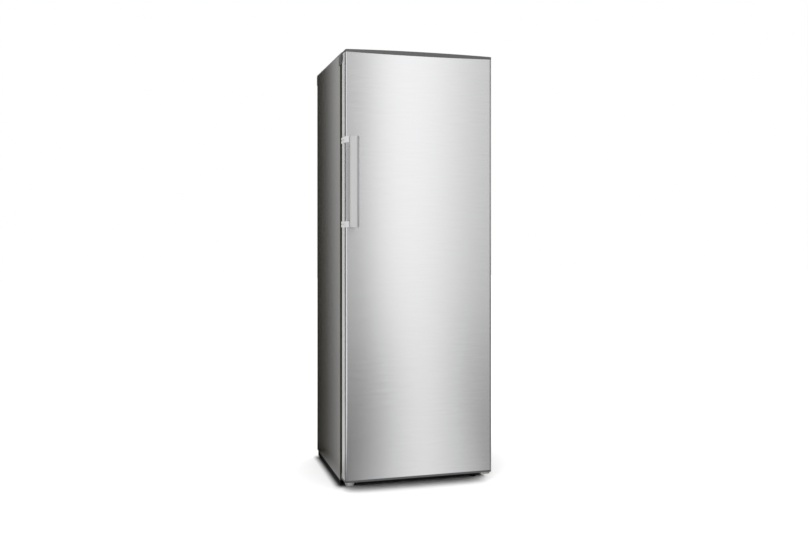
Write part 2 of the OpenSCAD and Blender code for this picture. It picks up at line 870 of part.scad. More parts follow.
housing_y0 = front_y + 36;
housing_y1 = housing_y0 + housing_d;
housing_z0 = in_z1 - housing_h;
knob_x = 52;
knob_y = housing_y0 + 50;
switch_x = -60;
switch_z = in_z1 - 17;
switch_r = 5;
shell_t = 2.5;
lamp_x1 = 44;
lens_x = 74;
lens_y0 = housing_y0 + 84;
lens_y1 = lens_y0 + 84;
lens_lip = 4;
lens_wall = 3;
lamp_y = (lens_y0 + lens_y1) / 2;

module control_housing() {
    color("white") place() difference() {
        union() {
            translate([0, 0, housing_z0 + 4]) linear_extrude(housing_h - 4)
                round_rect([-housing_w / 2, housing_y0], [housing_w / 2, housing_y1], 12);
            translate([0, 0, housing_z0]) linear_extrude(6)
                round_rect([4 - housing_w / 2, housing_y0 + 4],
                    [housing_w / 2 - 4, housing_y1 - 4], 9);
        }
        difference() {
            translate([0, 0, housing_z0 + shell_t]) linear_extrude(housing_h)
                round_rect([shell_t + 4 - housing_w / 2, housing_y0 + shell_t + 4],
                    [housing_w / 2 - shell_t - 4, housing_y1 - shell_t - 4], 8);
            rod([switch_x, housing_y0, switch_z],
                [switch_x, housing_y0 + 30, switch_z], switch_r + 3);
            translate([knob_x, knob_y, housing_z0]) cylinder(h = 14, r = 8);
            block([lamp_x1, lamp_y - 12, housing_z0 + 14],
                [housing_w / 2, lamp_y + 12, in_z1 - 3]);
        }
        translate([0, 0, housing_z0 - cut]) linear_extrude(2 * shell_t + cut)
            round_rect([-lens_x, lens_y0], [lens_x, lens_y1], 8);
        translate([knob_x, knob_y, housing_z0 - cut]) cylinder(h = 12 + cut, r = 5 + run_gap);
        rod([switch_x, housing_y0 - cut, switch_z],
            [switch_x, housing_y0 + 24, switch_z], switch_r + run_gap);
    }
}

module lamp_lens() {
    color("#e9eef2") place() difference() {
        union() {
            translate([0, 0, housing_z0 - 3]) linear_extrude(8)
                round_rect([seat - lens_x, lens_y0 + seat], [lens_x - seat, lens_y1 - seat], 8);
            translate([0, 0, housing_z0 + shell_t]) linear_extrude(2.5)
                round_rect([-lens_x - lens_lip, lens_y0 - lens_lip],
                    [lens_x + lens_lip, lens_y1 + lens_lip], 8);
        }
        translate([0, 0, housing_z0 - 1]) linear_extrude(20)
            round_rect([lens_wall - lens_x, lens_y0 + lens_wall],
                [lens_x - lens_wall, lens_y1 - lens_wall], 6);
    }
}

module lamp_bulb() {
    z = in_z1 - 12;
    color("#f4f0e4") place() {
        translate([-10, lamp_y, z]) sphere(10);
        rod([-8, lamp_y, z], [30, lamp_y, z], 6);
        rod([26, lamp_y, z], [lamp_x1, lamp_y, z], 7);
    }
}

module thermostat_knob() {
    color("#d8d8d8") place() translate([knob_x, knob_y, 0]) {
        difference() {
            translate([0, 0, housing_z0 - seat - 14]) cylinder(h = 14, r = knob_r);
            for (a = [0 : 20 : 340])
                rotate(a) translate([knob_r + 0.8, 0, housing_z0 - 20])
                    cylinder(h = 16, r = 1.8, $fn = 24);
        }
        translate([-1.5, -knob_r + 3, housing_z0 - seat - 17]) cube([3, knob_r - 3, 5]);
        translate([0, 0, housing_z0 - seat - 1]) cylinder(h = 12, r = 5);
    }
}

module switch_plunger() {
    color("#e4e4e4") place() {
        rod([switch_x, rim_y + seat, switch_z],
            [switch_x, housing_y0 + 2 * switch_travel + 2, switch_z], switch_r);
    }
}

// Shelves and crispers

function shelf_z(i) = rib_z0 + 4 * i * rib_pitch;

module glass_pane(z) {
    color("#cfe3e6") place() translate([0, 0, z + seat]) linear_extrude(glass_t)
        round_rect([1.5 - in_x, front_y + shelf_y], [in_x - 1.5, in_y1 - 10], 3);
}

module shelf_1() {
    glass_pane(shelf_z(1));
}

module shelf_2() {
    glass_pane(shelf_z(2));
}

module shelf_3() {
    glass_pane(shelf_z(3));
}

module shelf_4() {
    glass_pane(shelf_z(4));
}

// The white profiles that clip on the front and rear edges of the shelves
module shelf_trims() {
    x = in_x - rib_out - 2;
    y0 = front_y + shelf_y;
    y1 = in_y1 - 10;
    color("white") place() for (i = [0 : 4])
        for (end = [0, 1])
            translate([0, end == 0 ? y0 : y1, shelf_z(i) + seat]) mirror([0, end, 0])
                along_x(-x, x) difference() {
                    translate([-4, -7]) square([18, glass_t + 10 + end * 8]);
                    translate([0, 0]) square([16, glass_t]);
                    translate([4, glass_t + 2]) square([16, 18]);
                    translate([4, -9]) square([16, 7]);
                }
}

module crisper_cover() {
    glass_pane(rib_z0);
}

// A crisper drawer that steps over the compressor niche
module crisper(side) {
    x0 = side < 0 ? -in_x + rib_out + 1 : 3;
    x1 = side < 0 ? -3 : in_x - rib_out - 1;
    y0 = front_y + crisper_y;
    z0 = in_z0 + seat;
    z1 = z0 + crisper_h;
    color("#dfe8ea") place() {
        difference() {
            along_x(x0, x1) crisper_side(y0, z0, z1, 0);
            along_x(x0 + tray_t, x1 - tray_t) crisper_side(y0, z0, z1, tray_t);
        }
        along_x(x0 + 20, x1 - 20)
            polygon([[y0 + 1, z1 - 30], [y0 - 14, z1 - 24], [y0 - 14, z1 - 12],
                [y0 - 11, z1 - 12], [y0 - 11, z1 - 21], [y0 + 1, z1 - 26]]);
    }
}

// The drawer's outline seen from the side, with its walls set in by g
module crisper_side(y0, z0, z1, g) {
    low_y = step_y - 6;
    high_y = in_y1 - 14;
    high_z = step_z + 4;
    top = g > 0 ? z1 + cut : z1;
    polygon([[y0 + g, z0 + g], [low_y - g - 8, z0 + g], [low_y - g, z0 + g + 8],
        [low_y - g, high_z + g], [high_y - g, high_z + g], [high_y - g, top], [y0 + g, top]]);
}

module crisper_left() {
    crisper(-1);
}

module crisper_right() {
    crisper(1);
}

// Upper hinge

module hinge_arm(g) {
    translate([axis_x, axis_y]) circle(arm_r + g);
    translate([axis_x - arm_r - g, axis_y]) square([2 * (arm_r + g), front_y + 20 - axis_y]);
}

module top_hinge_bracket() {
    color("#9a9a9a") place() difference() {
        translate([0, 0, wrap_z1]) linear_extrude(plate_t) {
            hinge_arm(0);
            round_rect([axis_x - 60, front_y + 2], [half_w - 7, front_y + 72], 5);
        }
        translate([axis_x, axis_y, wrap_z1 - cut])
            cylinder(h = plate_t + 2 * cut, r = pin_r + run_gap);
        top_screw_spots() translate([0, 0, wrap_z1 - cut])
            cylinder(h = plate_t + 2 * cut, r = screw_r + run_gap);
    }
}

module top_screw_spots() {
    for (p = [[-46, 18], [-46, 58], [0, 58]])
        translate([axis_x + p[0], front_y + p[1], 0]) children();
}

module top_screw_bores() {
    top_screw_spots() translate([0, 0, wrap_z1 - screw_l - cut])
        cylinder(h = screw_l + 2 * cut, r = screw_r + run_gap);
}

// A low hood over the upper hinge plate, whose nose reaches over the door
module top_hinge_cover() {
    roof_z = cabinet_h + hood_h - 1.6;
    nose_z = cabinet_h + 1.6;
    color("#3a3a3c") place() difference() {
        union() {
            translate([0, 0, cabinet_h]) linear_extrude(hood_h) hood_body(0);
            translate([0, 0, nose_z]) linear_extrude(hood_h - 1.6) hood_nose(0);
        }
        translate([0, 0, cabinet_h - cut]) linear_extrude(roof_z - cabinet_h + cut) {
            hood_body(2);
            hood_nose(2);
        }
    }
}

// The hood's outline over the cabinet, set in by g
module hood_body(g) {
    round_rect([axis_x - 66 + g, front_y + g], [half_w - 4 - g, front_y + 78 - g], 6);
}

// The hood's outline over the door, set in by g
module hood_nose(g) {
    round_rect([axis_x - arm_r - 3 + g, axis_y - arm_r - 2 + g],
        [half_w - 4 - g, front_y + 20], 4);
}

module bottom_hinge_bracket() {
    x0 = half_w - 42;
    x1 = half_w - 3;
    y0 = axis_y - 41;
    z1 = lower_plate_z1;
    color("#b9babb") place() difference() {
        union() {
            difference() {
                translate([0, 0, z1 - foot_lip_h]) linear_extrude(foot_lip_h)
                    lower_plan(x0, x1, y0);
                translate([0, 0, z1 - foot_lip_h - cut])
                    linear_extrude(foot_lip_h - foot_plate_t + cut)
                        lower_plan(x0 + 3, x1 - 3, y0 + 3);
            }
            block([x0 - 30, front_y - 3.5, z1 - foot_lip_h], [x1, front_y, z1 + 20]);
        }
        translate([axis_x, axis_y, z1 - foot_lip_h])
            cylinder(h = foot_lip_h + cut, r = pin_r + run_gap);
        low_screw_bores();
    }
}

// The lower plate's outline, with a wide round at its outer front corner
module lower_plan(x0, x1, y0) {
    r = 14;
    translate([x0, y0 + r]) square([x1 - x0, front_y - y0 - r]);
    translate([x0 + 4, y0]) square([x1 - x0 - r - 4, 2 * r]);
    translate([x0 + 4, y0 + 4]) circle(4);
    translate([x0, y0 + 4]) square([8, r]);
    translate([x1 - r, y0 + r]) circle(r);
}

module low_screw_spots() {
    for (x = [-66, -42])
        translate([half_w + x, front_y - 3.5, lower_plate_z1 + 14]) children();
}

module low_screw_bores() {
    low_screw_spots() rotate([-90, 0, 0]) translate([0, 0, -cut])
        cylinder(h = screw_l + 2 * cut, r = screw_r + run_gap);
}

module hinge_pins() {
    color("silver") place() {
        translate([axis_x, axis_y, wrap_z1 + plate_t - pin_l - plate_t])
            cylinder(h = pin_l + plate_t, r = pin_r);
        translate([axis_x, axis_y, wrap_z1 + plate_t]) cylinder(h = 2.5, r = pin_r + 2.5);
        translate([axis_x, axis_y, lower_plate_z1 - foot_plate_t])
            cylinder(h = foot_plate_t + pin_l, r = pin_r);
        translate([axis_x, axis_y, lower_plate_z1 - foot_plate_t - 2])
            cylinder(h = 2, r = pin_r + 2);
    }
}

// The screws of the two hinge plates and the compressor's four bolts
module cabinet_screws() {
    color("silver") place() {
        top_screw_spots() {
            translate([0, 0, wrap_z1 + plate_t - screw_l]) cylinder(h = screw_l, r = screw_r);
            translate([0, 0, wrap_z1 + plate_t]) cylinder(h = 3, r = 5.5, $fn = 6);
        }
        low_screw_spots() rotate([-90, 0, 0]) {
            cylinder(h = screw_l, r = screw_r);
            translate([0, 0, -3]) cylinder(h = 3, r = 5.5, $fn = 6);
        }
        mount_spots() {
            translate([0, 0, cradle_z - 6]) cylinder(h = mount_h + 13, r = screw_r);
            translate([0, 0, comp_z + 3]) cylinder(h = 5, r = 5.5, $fn = 6);
        }
    }
}

// Door

// Points along the skin's dipped upper edge, from left to right
function edge_points() = [for (i = [0 : bow_n])
    let (x = half_w * (2 * i / bow_n - 1)) [x, skin_z1 - skin_dip + bow(x, skin_dip)]];

// Everything above the skin's upper edge
module above_skin() {
    along_y(-cut, door_t + cut)
        polygon(concat([[-half_w - cut, skin_z1 + 30], [-half_w - cut, skin_z1]],
            edge_points(), [[half_w + cut, skin_z1], [half_w + cut, skin_z1 + 30]]));
}

// The top cap's outline seen from the front, a shallow crown with round ends
module crown_outline() {
    crown_r = arc_r(cap_crown);
    crown_z = cabinet_h + cap_crown - crown_r;
    end_x = half_w - cap_end_r;
    end_z = crown_z + sqrt(pow(crown_r - cap_end_r, 2) - end_x * end_x);
    meet_x = end_x * crown_r / (crown_r - cap_end_r);
    meet_a = 90 - asin(end_x / (crown_r - cap_end_r));
    corner = [for (i = [0 : 10])
        [end_x + cap_end_r * cos(meet_a * i / 10), end_z + cap_end_r * sin(meet_a * i / 10)]];
    crown = [for (i = [1 : bow_n - 1])
        let (x = meet_x * (1 - 2 * i / bow_n)) [x, cabinet_h + cap_crown - bow(x, cap_crown)]];
    left = [for (i = [10 : -1 : 0]) [-corner[i][0], corner[i][1]]];
    polygon(concat(edge_points(), corner, crown, left));
}

module door_skin() {
    color("#b9b9ba") place() difference() {
        translate([0, 0, skin_z0]) linear_extrude(skin_z1 - skin_z0)
            front_round(half_w, 0, skin_side, skin_r);
        translate([0, 0, skin_z0 - cut]) linear_extrude(skin_z1 - skin_z0 + 2 * cut)
            front_round(half_w - skin_t, skin_t, skin_side + cut, skin_r - skin_t);
        above_skin();
    }
}

// The space inside the skin, from y0 to the door's rear edge less g
module door_inner(z0, z1, g) {
    translate([0, 0, z0]) linear_extrude(z1 - z0) {
        front_round(half_w - skin_t, skin_t, skin_side, skin_r - skin_t);
        translate([skin_t - half_w, skin_side - cut])
            square([2 * (half_w - skin_t), rear_edge_y - g - skin_side + cut]);
    }
}

// The liner's rim and middle, grown by g towards the cabinet
module rim_block(g) {
    along_y(rear_edge_y - liner_t - cut, rim_y - liner_t + g)
        round_rect([-rim_x - g + liner_t, rim_z0 - g + liner_t],
            [rim_x + g - liner_t, rim_z1 + g - liner_t], rim_r);
}

module rim_hollow(g) {
    x = rim_x - rim_w + liner_t;
    along_y(recess_y - liner_t + g, rim_y + 2 * cut)
        round_rect([g - x, rim_z0 + rim_w - liner_t + g], [x - g, rim_z1 - rim_w + liner_t - g],
            rim_r - 4);
}

module door_foam() {
    color("khaki") place() difference() {
        union() {
            door_inner(skin_z0 + plug_h, skin_z1 - skin_dip - plug_h, liner_t);
            rim_block(0);
        }
        rim_hollow(0);
        side_trims();
        pin_room();
    }
}

// Room in the foam for the ends of the two hinge pins
module pin_room() {
    r = pin_r + 2.5;
    translate([axis_x, axis_y, band_z0 - cut]) cylinder(h = pin_l + 4 + cut, r = r);
    translate([axis_x, axis_y, pocket_z - pin_l]) cylinder(h = pin_l + 12, r = r);
}

// The dark plastic strips along the door's two sides, behind the skin
module side_trims() {
    x = half_w - skin_t;
    for (side = [-1, 1])
        mirror([side < 0 ? 1 : 0, 0, 0])
            translate([0, 0, skin_z0 + plug_h])
                linear_extrude(skin_z1 - skin_dip - plug_h - skin_z0 - plug_h) {
                    translate([x - liner_t, skin_side]) square([liner_t, rear_edge_y - skin_side]);
                    translate([x - trim_w, rear_edge_y - liner_t]) square([trim_w, liner_t]);
                }
}

module door_side_trims() {
    color("#1a1a1b") place() side_trims();
}

// The lugs on the liner that one bin hangs on, under its collar at height z
module bin_lugs(z) {
    for (side = [-1, 1])
        mirror([side < 0 ? 1 : 0, 0, 0])
            block([rim_x - rim_w - bin_lug, recess_y - 1, z - 15],
                [rim_x - rim_w + 1, recess_y + 30, z - 3 - seat]);
}

module door_liner() {
    x = half_w - skin_t - trim_w;
    color("white") place() {
        liner_shell(x);
        for (b = bins)
            bin_lugs(b[0] + 0.72 * b[1]);
    }
}

module liner_shell(x) {
    difference() {
        union() {
            block([-x, rear_edge_y - liner_t, skin_z0 + plug_h],
                [x, rear_edge_y, skin_z1 - skin_dip - plug_h]);
            rim_block(liner_t);
            difference() {
                along_y(recess_y - liner_t, rear_edge_y)
                    square([2 * (rim_x - rim_w + liner_t), 2 * rim_z1], center = true);
                block([-half_w, 0, -rim_z1 - cut], [half_w, door_t + cut, rim_z0 + rim_w - liner_t]);
                block([-half_w, 0, rim_z1 - rim_w + liner_t], [half_w, door_t + cut, rim_z1 + cut]);
            }
        }
        difference() {
            union() {
                door_inner(skin_z0, skin_z1, liner_t);
                rim_block(0);
            }
            rim_hollow(0);
        }
        rim_hollow(liner_t);
    }
}

module door_top_cap() {
    z0 = skin_z1 - skin_dip - plug_h;
    color("#4a4a4c") place() difference() {
        union() {
            intersection() {
                along_y(-cut, rear_edge_y) crown_outline();
                translate([0, 0, z0]) linear_extrude(cabinet_h + 2 * cap_crown - z0)
                    front_round(half_w, 0, rear_edge_y, skin_r);
            }
            door_inner(z0, skin_z1 + cut, 0);
        }
        block([axis_x - 30, axis_y - 34, pocket_z],
            [half_w + cut, rear_edge_y + cut, cabinet_h + 2 * cap_crown]);
        translate([axis_x, axis_y, z0 - cut]) cylinder(h = 60, r = pin_r + 2);
    }
}

module door_bottom_cap() {
    color("#4a4a4c") place() difference() {
        union() {
            translate([0, 0, band_z0]) linear_extrude(band_h)
                front_round(half_w, 0, rear_edge_y, skin_r);
            door_inner(skin_z0 - cut, skin_z0 + plug_h, 0);
        }
        translate([axis_x, axis_y, band_z0 - cut]) cylinder(h = band_h + plug_h + 2 * cut, r = pin_r + 2);
        translate([axis_x, axis_y, band_z0 - cut])
            cylinder(h = bush_flange_t + cut, r = bush_flange_r);
    }
}

module door_bushes() {
    sleeve_l = band_h + plug_h;
    color("#e8e8e8") place() translate([axis_x, axis_y, 0]) {
        difference() {
            union() {
                translate([0, 0, band_z0]) cylinder(h = bush_flange_t, r = bush_flange_r);
                translate([0, 0, band_z0]) cylinder(h = sleeve_l, r = pin_r + 2);
            }
            translate([0, 0, band_z0 - cut]) cylinder(h = sleeve_l + 2 * cut, r = pin_r + run_gap);
        }
        difference() {
            union() {
                translate([0, 0, pocket_z]) cylinder(h = bush_flange_t, r = bush_flange_r);
                translate([0, 0, pocket_z - 18]) cylinder(h = 18, r = pin_r + 2);
            }
            translate([0, 0, pocket_z - 19]) cylinder(h = 24, r = pin_r + run_gap);
        }
    }
}

// The magnetic seal: a lip in the door's edge, a bellows and the magnet's bulb
module door_gasket() {
    color("#2a2a2b") place() {
        seal_ring(rear_edge_y, rear_edge_y + 4, 0, seal_w);
        seal_ring(rear_edge_y + 4, front_y - seat - 6, 3, seal_w - 3);
        seal_ring(front_y - seat - 6, front_y - seat, 1, seal_w - 1);
    }
}

// A frame round the door between two distances from the gasket's outer edge
module seal_ring(y0, y1, a, b) {
    x = half_w - seal_inset;
    difference() {
        along_y(y0, y1) round_rect([a - x, seal_z0 + a], [x - a, seal_z1 - a], seal_r);
        along_y(y0 - cut, y1 + cut)
            round_rect([b - x, seal_z0 + b], [x - b, seal_z1 - b], seal_r - 3);
    }
}

// A bin between the liner's rims, with its floor at height z
module bin(z, h) {
    y0 = recess_y + seat;
    y1 = y0 + bin_d;
    collar_z = z + 0.72 * h;
    color("#e6edef") place() difference() {
        union() {
            translate([0, 0, z]) linear_extrude(h) rotate(180) translate([0, -y1])
                front_round(bin_body, 0, bin_d, 16);
            block([-bin_half, y0, collar_z - 3], [bin_half, y0 + 34, collar_z]);
        }
        translate([0, 0, z + tray_t]) linear_extrude(h) rotate(180) translate([0, -y1])
            front_round(bin_body - tray_t, tray_t, bin_d - tray_t, 16 - tray_t);
        block([-bin_half - cut, y0 - cut, collar_z], [bin_half + cut, y0 + 34, z + h + cut]);
    }
}

module door_bin_1() {
    bin(bins[1][0], bins[1][1]);
}

module door_bin_2() {
    bin(bins[2][0], bins[2][1]);
}

module door_bin_3() {
    bin(bins[3][0], bins[3][1]);
}

module bottle_bin() {
    bin(bins[0][0], bins[0][1]);
}

// Handle

module handle_bar() {
    y = -bar_reach;
    x = bar_x0;
    color("#c4c4c5") place() translate([0, 0, bar_z]) linear_extrude(bar_l)
        polygon([[x, y + bar_t - 3], [x, y + 4], [x + 2, y + 2], [x + 7, y], [x + 26, y],
            [x + bar_w - 4, y + 4], [x + bar_w, y + 9], [x + bar_w, y + bar_t],
            [x + 3, y + bar_t]]);
}

// A strap that wraps the door's left edge and carries one end of the bar
module strap(z) {
    x = -half_w;
    groove_h = 5;
    r = skin_r + run_gap;
    color("#c9c9ca") place() difference() {
        translate([0, 0, z]) linear_extrude(strap_h)
            polygon([[x, skin_side], [x - strap_t, skin_side - 2], [x - strap_t, -4],
                [x - 2, -18], [bar_x0 - 3, bar_back_y - 4], [bar_x0 + 1, bar_back_y],
                [bar_x0 + 22, bar_back_y], [bar_x0 + 12, bar_back_y + 9], [x + 7, -12],
                for (a = [50 : -10 : 0]) [x + skin_r - r * cos(a), skin_r - r * sin(a)],
                [x, skin_r + 1]]);
        block([x - strap_t - cut, 2, z + (strap_h - groove_h) / 2],
            [x - strap_t + 1.2, skin_side + cut, z + (strap_h + groove_h) / 2]);
        strap_screw_spots(z) rotate([0, -90, 0]) translate([0, 0, -1])
            cylinder(h = 12, r = 2 + run_gap);
    }
}

module strap_screw_spots(z) {
    for (y = [20, 46])
        translate([-half_w, y, z + strap_h / 2]) children();
}

module handle_bracket_upper() {
    strap(bar_z + bar_l - strap_h);
}

module handle_bracket_lower() {
    strap(bar_z);
}

module handle_screws() {
    color("silver") place() for (z = [bar_z, bar_z + bar_l - strap_h])
        strap_screw_spots(z) rotate([0, -90, 0]) {
            cylinder(h = strap_t - 1.2, r = 2);
            translate([0, 0, strap_t - 1.2]) cylinder(h = 1, r = 2.4);
        }
}

outer_wrap();
back_panel();
niche_panel();
base_frame();
foam_insulation();
inner_liner();
top_cover();
plinth();
top_hinge_bracket();
top_hinge_cover();
bottom_hinge_bracket();
hinge_pins();
cabinet_screws();
foot_left();
foot_right();
roller_left();
roller_right();
roller_axles();
compressor_rail();
compressor();
compressor_mounts();
relay_box();
mains_inlet();
evaporating_tray();
condenser_tube();
condenser_wires();
condenser_clips();
filter_drier();
refrigerant_pipes();
drain_hose();
evaporator_plate();
control_housing();
lamp_lens();
lamp_bulb();
thermostat_knob();
switch_plunger();
shelf_1();
shelf_2();
shelf_3();
shelf_4();
shelf_trims();
crisper_cover();
crisper_left();
crisper_right();
door_skin();
door_foam();
door_liner();
door_top_cap();
door_bottom_cap();
door_side_trims();
door_gasket();
door_bin_1();
door_bin_2();
door_bin_3();
bottle_bin();
handle_bar();
handle_bracket_upper();
handle_bracket_lower();
handle_screws();
door_bushes();
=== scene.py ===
"""Upright fridge with a brushed steel door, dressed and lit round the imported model.

The studio stands first. Then each sub-assembly dresses its CAD nodes and makes the pieces whose
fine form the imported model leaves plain, such as threads, ribs and flutes.
"""

import logging
import math
from dataclasses import dataclass
from enum import Enum

import bmesh
import bpy
from mathutils import Matrix, Vector


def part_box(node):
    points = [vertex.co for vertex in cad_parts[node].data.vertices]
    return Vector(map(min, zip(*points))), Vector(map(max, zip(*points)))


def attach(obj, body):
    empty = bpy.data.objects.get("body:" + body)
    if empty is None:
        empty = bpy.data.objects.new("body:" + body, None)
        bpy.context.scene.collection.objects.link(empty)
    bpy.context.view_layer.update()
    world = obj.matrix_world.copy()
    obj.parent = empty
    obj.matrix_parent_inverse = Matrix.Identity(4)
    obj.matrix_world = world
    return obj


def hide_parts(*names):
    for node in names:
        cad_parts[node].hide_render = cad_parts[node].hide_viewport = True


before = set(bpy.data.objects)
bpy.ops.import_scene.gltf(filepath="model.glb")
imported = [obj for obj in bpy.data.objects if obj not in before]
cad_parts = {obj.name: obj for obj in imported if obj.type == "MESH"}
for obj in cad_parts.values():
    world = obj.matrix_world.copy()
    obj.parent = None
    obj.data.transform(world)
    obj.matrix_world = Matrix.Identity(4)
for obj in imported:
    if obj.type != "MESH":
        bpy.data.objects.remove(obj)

LOG = logging.getLogger("fridge")
MM = 0.001
# Faces that meet below the first angle shade smooth, and edges above the second one are eased.
SMOOTH_LIMIT_DEG = 32
EDGE_LIMIT_DEG = 35
EASE_STEPS = 2
# What all finishes share.
LEAST_ROUGHNESS = 0.02
COAT_ROUGHNESS = 0.08
BUMP_STRENGTH = 0.4
PATTERN_DETAIL = 3.0
# The highest level that a card's ramp can hold.
RAMP_TOP = 2.0
# Points of a CAD mesh that lie closer than this, in metres, are one.
WELD = 0.00001
# A cross slot's arms and waist, and a screw thread as shares of its radius and its pitch.
CROSS_ARM = 0.8
CROSS_WAIST = 0.42
THREAD_TIP = 0.6
THREAD_ROOT = 0.84
RADIUS_PER_PITCH = 2.6
ROOT_AT = 0.2
CREST_AT = 0.7
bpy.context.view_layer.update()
DOOR_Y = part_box("door_skin")[0].y


def linear(code: str, alpha: float = 1.0) -> tuple[float, float, float, float]:
    """Turns an sRGB hex colour into the linear one that a shader takes.

    Args:
        code: six hex digits after a hash sign.
        alpha: the opacity to return with the colour.

    Returns:
        Red, green, blue and alpha.
    """
    parts = [int(code[i : i + 2], 16) / 255 for i in (1, 3, 5)]
    toned = [c / 12.92 if c <= 0.04045 else ((c + 0.055) / 1.055) ** 2.4 for c in parts]
    return (toned[0], toned[1], toned[2], alpha)


def add_node(
    tree: bpy.types.NodeTree, kind: str, feeds: dict[str | int, object] | None = None, **settings: object
) -> bpy.types.Node:
    """Adds one shader node with its settings, socket values and links.

    Args:
        tree: the node tree to add to.
        kind: Blender's name of the node.
        feeds: input name or number to a value, or to the output socket that feeds it.
        settings: attributes of the node.

    Returns:
        The new node.
    """
    node = tree.nodes.new(kind)
    for name, value in settings.items():
        setattr(node, name, value)
    for name, value in (feeds or {}).items():
        if isinstance(value, bpy.types.NodeSocket):
            tree.links.new(value, node.inputs[name])
        else:
            node.inputs[name].default_value = value
    return node


@dataclass(frozen=True)
class Finish:
    """One real material and how its surface was made.

    The pattern is noise whose grain has real sizes along X, Y and Z in millimetres. Shade and
    rough_swing are how far it moves colour and roughness, and relief is how high it raises bumps,
    in millimetres. Turn is the brushing's direction as a share of a full turn.
    """

    name: str
    colour: str
    roughness: float
    metallic: float = 0.0
    ior: float = 1.5
    grain: tuple[float, float, float] = (2.0, 2.0, 2.0)
    shade: float = 0.06
    rough_swing: float = 0.05
    relief: float = 0.05
    specular: float = 0.5
    coat: float = 0.0
    anisotropic: float = 0.0
    turn: float = 0.0
    alpha: float = 1.0

    def material(self) -> bpy.types.Material:
        """Returns the finish's material, made on its first use."""
        known = bpy.data.materials.get(self.name)
        if known:
            return known
        made = bpy.data.materials.new(self.name)
        made.use_nodes = True
        tree = made.node_tree
        tree.nodes.clear()
        bsdf = add_node(
            tree,
            "ShaderNodeBsdfPrincipled",
            {
                "Metallic": self.metallic,
                "IOR": self.ior,
                "Specular IOR Level": self.specular,
                "Coat Weight": self.coat,
                "Coat Roughness": COAT_ROUGHNESS,
                "Anisotropic": self.anisotropic,
                "Anisotropic Rotation": self.turn,
                "Alpha": self.alpha,
            },
        )
        self.pattern(tree, bsdf)
        add_node(tree, "ShaderNodeOutputMaterial", {"Surface": bsdf.outputs["BSDF"]})
        made.diffuse_color = linear(self.colour)
        return made

    def pattern(self, tree: bpy.types.NodeTree, bsdf: bpy.types.Node) -> None:
        """Feeds the shader's colour, roughness and normal from the grain.

        Args:
            tree: the material's nodes.
            bsdf: the shader.
        """
        place = add_node(tree, "ShaderNodeTexCoord")
        scale = tuple(1 / (size * MM) for size in self.grain)
        mapped = add_node(tree, "ShaderNodeMapping", {"Vector": place.outputs["Object"], "Scale": scale})
        space = mapped.outputs["Vector"]
        noise = add_node(
            tree, "ShaderNodeTexNoise", {"Vector": space, "Scale": 1.0, "Detail": PATTERN_DETAIL}
        )
        plain = linear(self.colour)[:3]
        dark = tuple(c * (1 - self.shade) for c in plain) + (1.0,)
        light = tuple(min(1.0, c * (1 + self.shade)) for c in plain) + (1.0,)
        # The mix node's colours are its sockets 6 and 7, and their mixture is its output 2.
        mix = add_node(
            tree, "ShaderNodeMix", {0: noise.outputs["Fac"], 6: dark, 7: light}, data_type="RGBA"
        )
        tree.links.new(mix.outputs[2], bsdf.inputs["Base Color"])
        rough = add_node(
            tree,
            "ShaderNodeMapRange",
            {
                "Value": noise.outputs["Fac"],
                "To Min": max(LEAST_ROUGHNESS, self.roughness - self.rough_swing),
                "To Max": self.roughness + self.rough_swing,
            },
        )
        tree.links.new(rough.outputs["Result"], bsdf.inputs["Roughness"])
        bump = add_node(
            tree,
            "ShaderNodeBump",
            {"Height": noise.outputs["Fac"], "Strength": BUMP_STRENGTH, "Distance": self.relief * MM},
        )
        tree.links.new(bump.outputs["Normal"], bsdf.inputs["Normal"])


# 430 stainless, belt brushed across the door's width and clear coated against fingers. The
# strokes are too fine to show, so they are drawn 5 mm high: the eye sees faint level streaks and
# reflections that spread upright.
BRUSHED_STEEL = Finish(
    "brushed_430_stainless", "#dcdcdd", 0.235, metallic=1.0, grain=(100, 100, 5), shade=0.044,
    rough_swing=0.02, relief=0.004, anisotropic=0.85, turn=0.25,
)
# The handle is the same steel, ground along its length, so its chamfers catch the light.
GROUND_STEEL = Finish(
    "ground_430_stainless", "#dcdcdd", 0.3, metallic=1.0, grain=(1.5, 1.5, 90), shade=0.03,
    rough_swing=0.03, relief=0.006, anisotropic=0.7,
)
# Cast zinc under silver lacquer: paler and softer than the bar, with fine metal flake.
SILVER_LACQUER = Finish(
    "silver_lacquered_zinc", "#f6f6f6", 0.38, metallic=0.35, grain=(0.6, 0.6, 0.6), shade=0.05,
    relief=0.01,
)
# Polyester powder coat baked on steel: a fine orange peel that blurs reflections a little.
POWDER_COAT = Finish(
    "powder_coated_steel", "#2f2c23", 0.17, grain=(1.6, 1.6, 1.6), shade=0.03, rough_swing=0.03,
    relief=0.015,
)
# Injection moulded ABS with spark-eroded grain: dark and dull, with a soft edge light.
MOULDED_ABS = Finish(
    "moulded_dark_abs", "#515151", 0.45, grain=(0.8, 0.8, 0.8), shade=0.08, relief=0.03,
)
# The same moulding in black with almost no shine, so relay, inlet and clips stay behind the
# bright metal. On the door's side trims, the plinth and the right foot the near-black is partly
# painted shade, for the dark gap by the door and the shade under the fridge.
MOULDED_BLACK_AND_SHADE = Finish(
    "moulded_black_abs_and_shade", "#050506", 0.6, grain=(0.8, 0.8, 0.8), shade=0.1, relief=0.03, specular=0.12,
)
# Moulded pale polyamide for the left foot: a clean even tone that is partly painted light,
# lifted so the foot stands out of the dark plinth though it sits in the shade under the door.
MOULDED_PALE_PAINTED_LIGHT = Finish("pale_polyamide_painted_light", "#dcdcdc", 0.4, grain=(1.5, 1.5, 1.5), relief=0.03)
# Moulded grey polypropylene: waxy and soft, for knob, tray and drain hose.
MOULDED_GREY = Finish("moulded_grey_polypropylene", "#a9aaab", 0.5, grain=(1.5, 1.5, 1.5), relief=0.03)
# Vacuum formed high impact polystyrene: milky white with a wet gloss and slow waves.
FORMED_WHITE = Finish(
    "vacuum_formed_polystyrene", "#e6e8e8", 0.22, grain=(40, 40, 40), shade=0.015, relief=0.15,
)
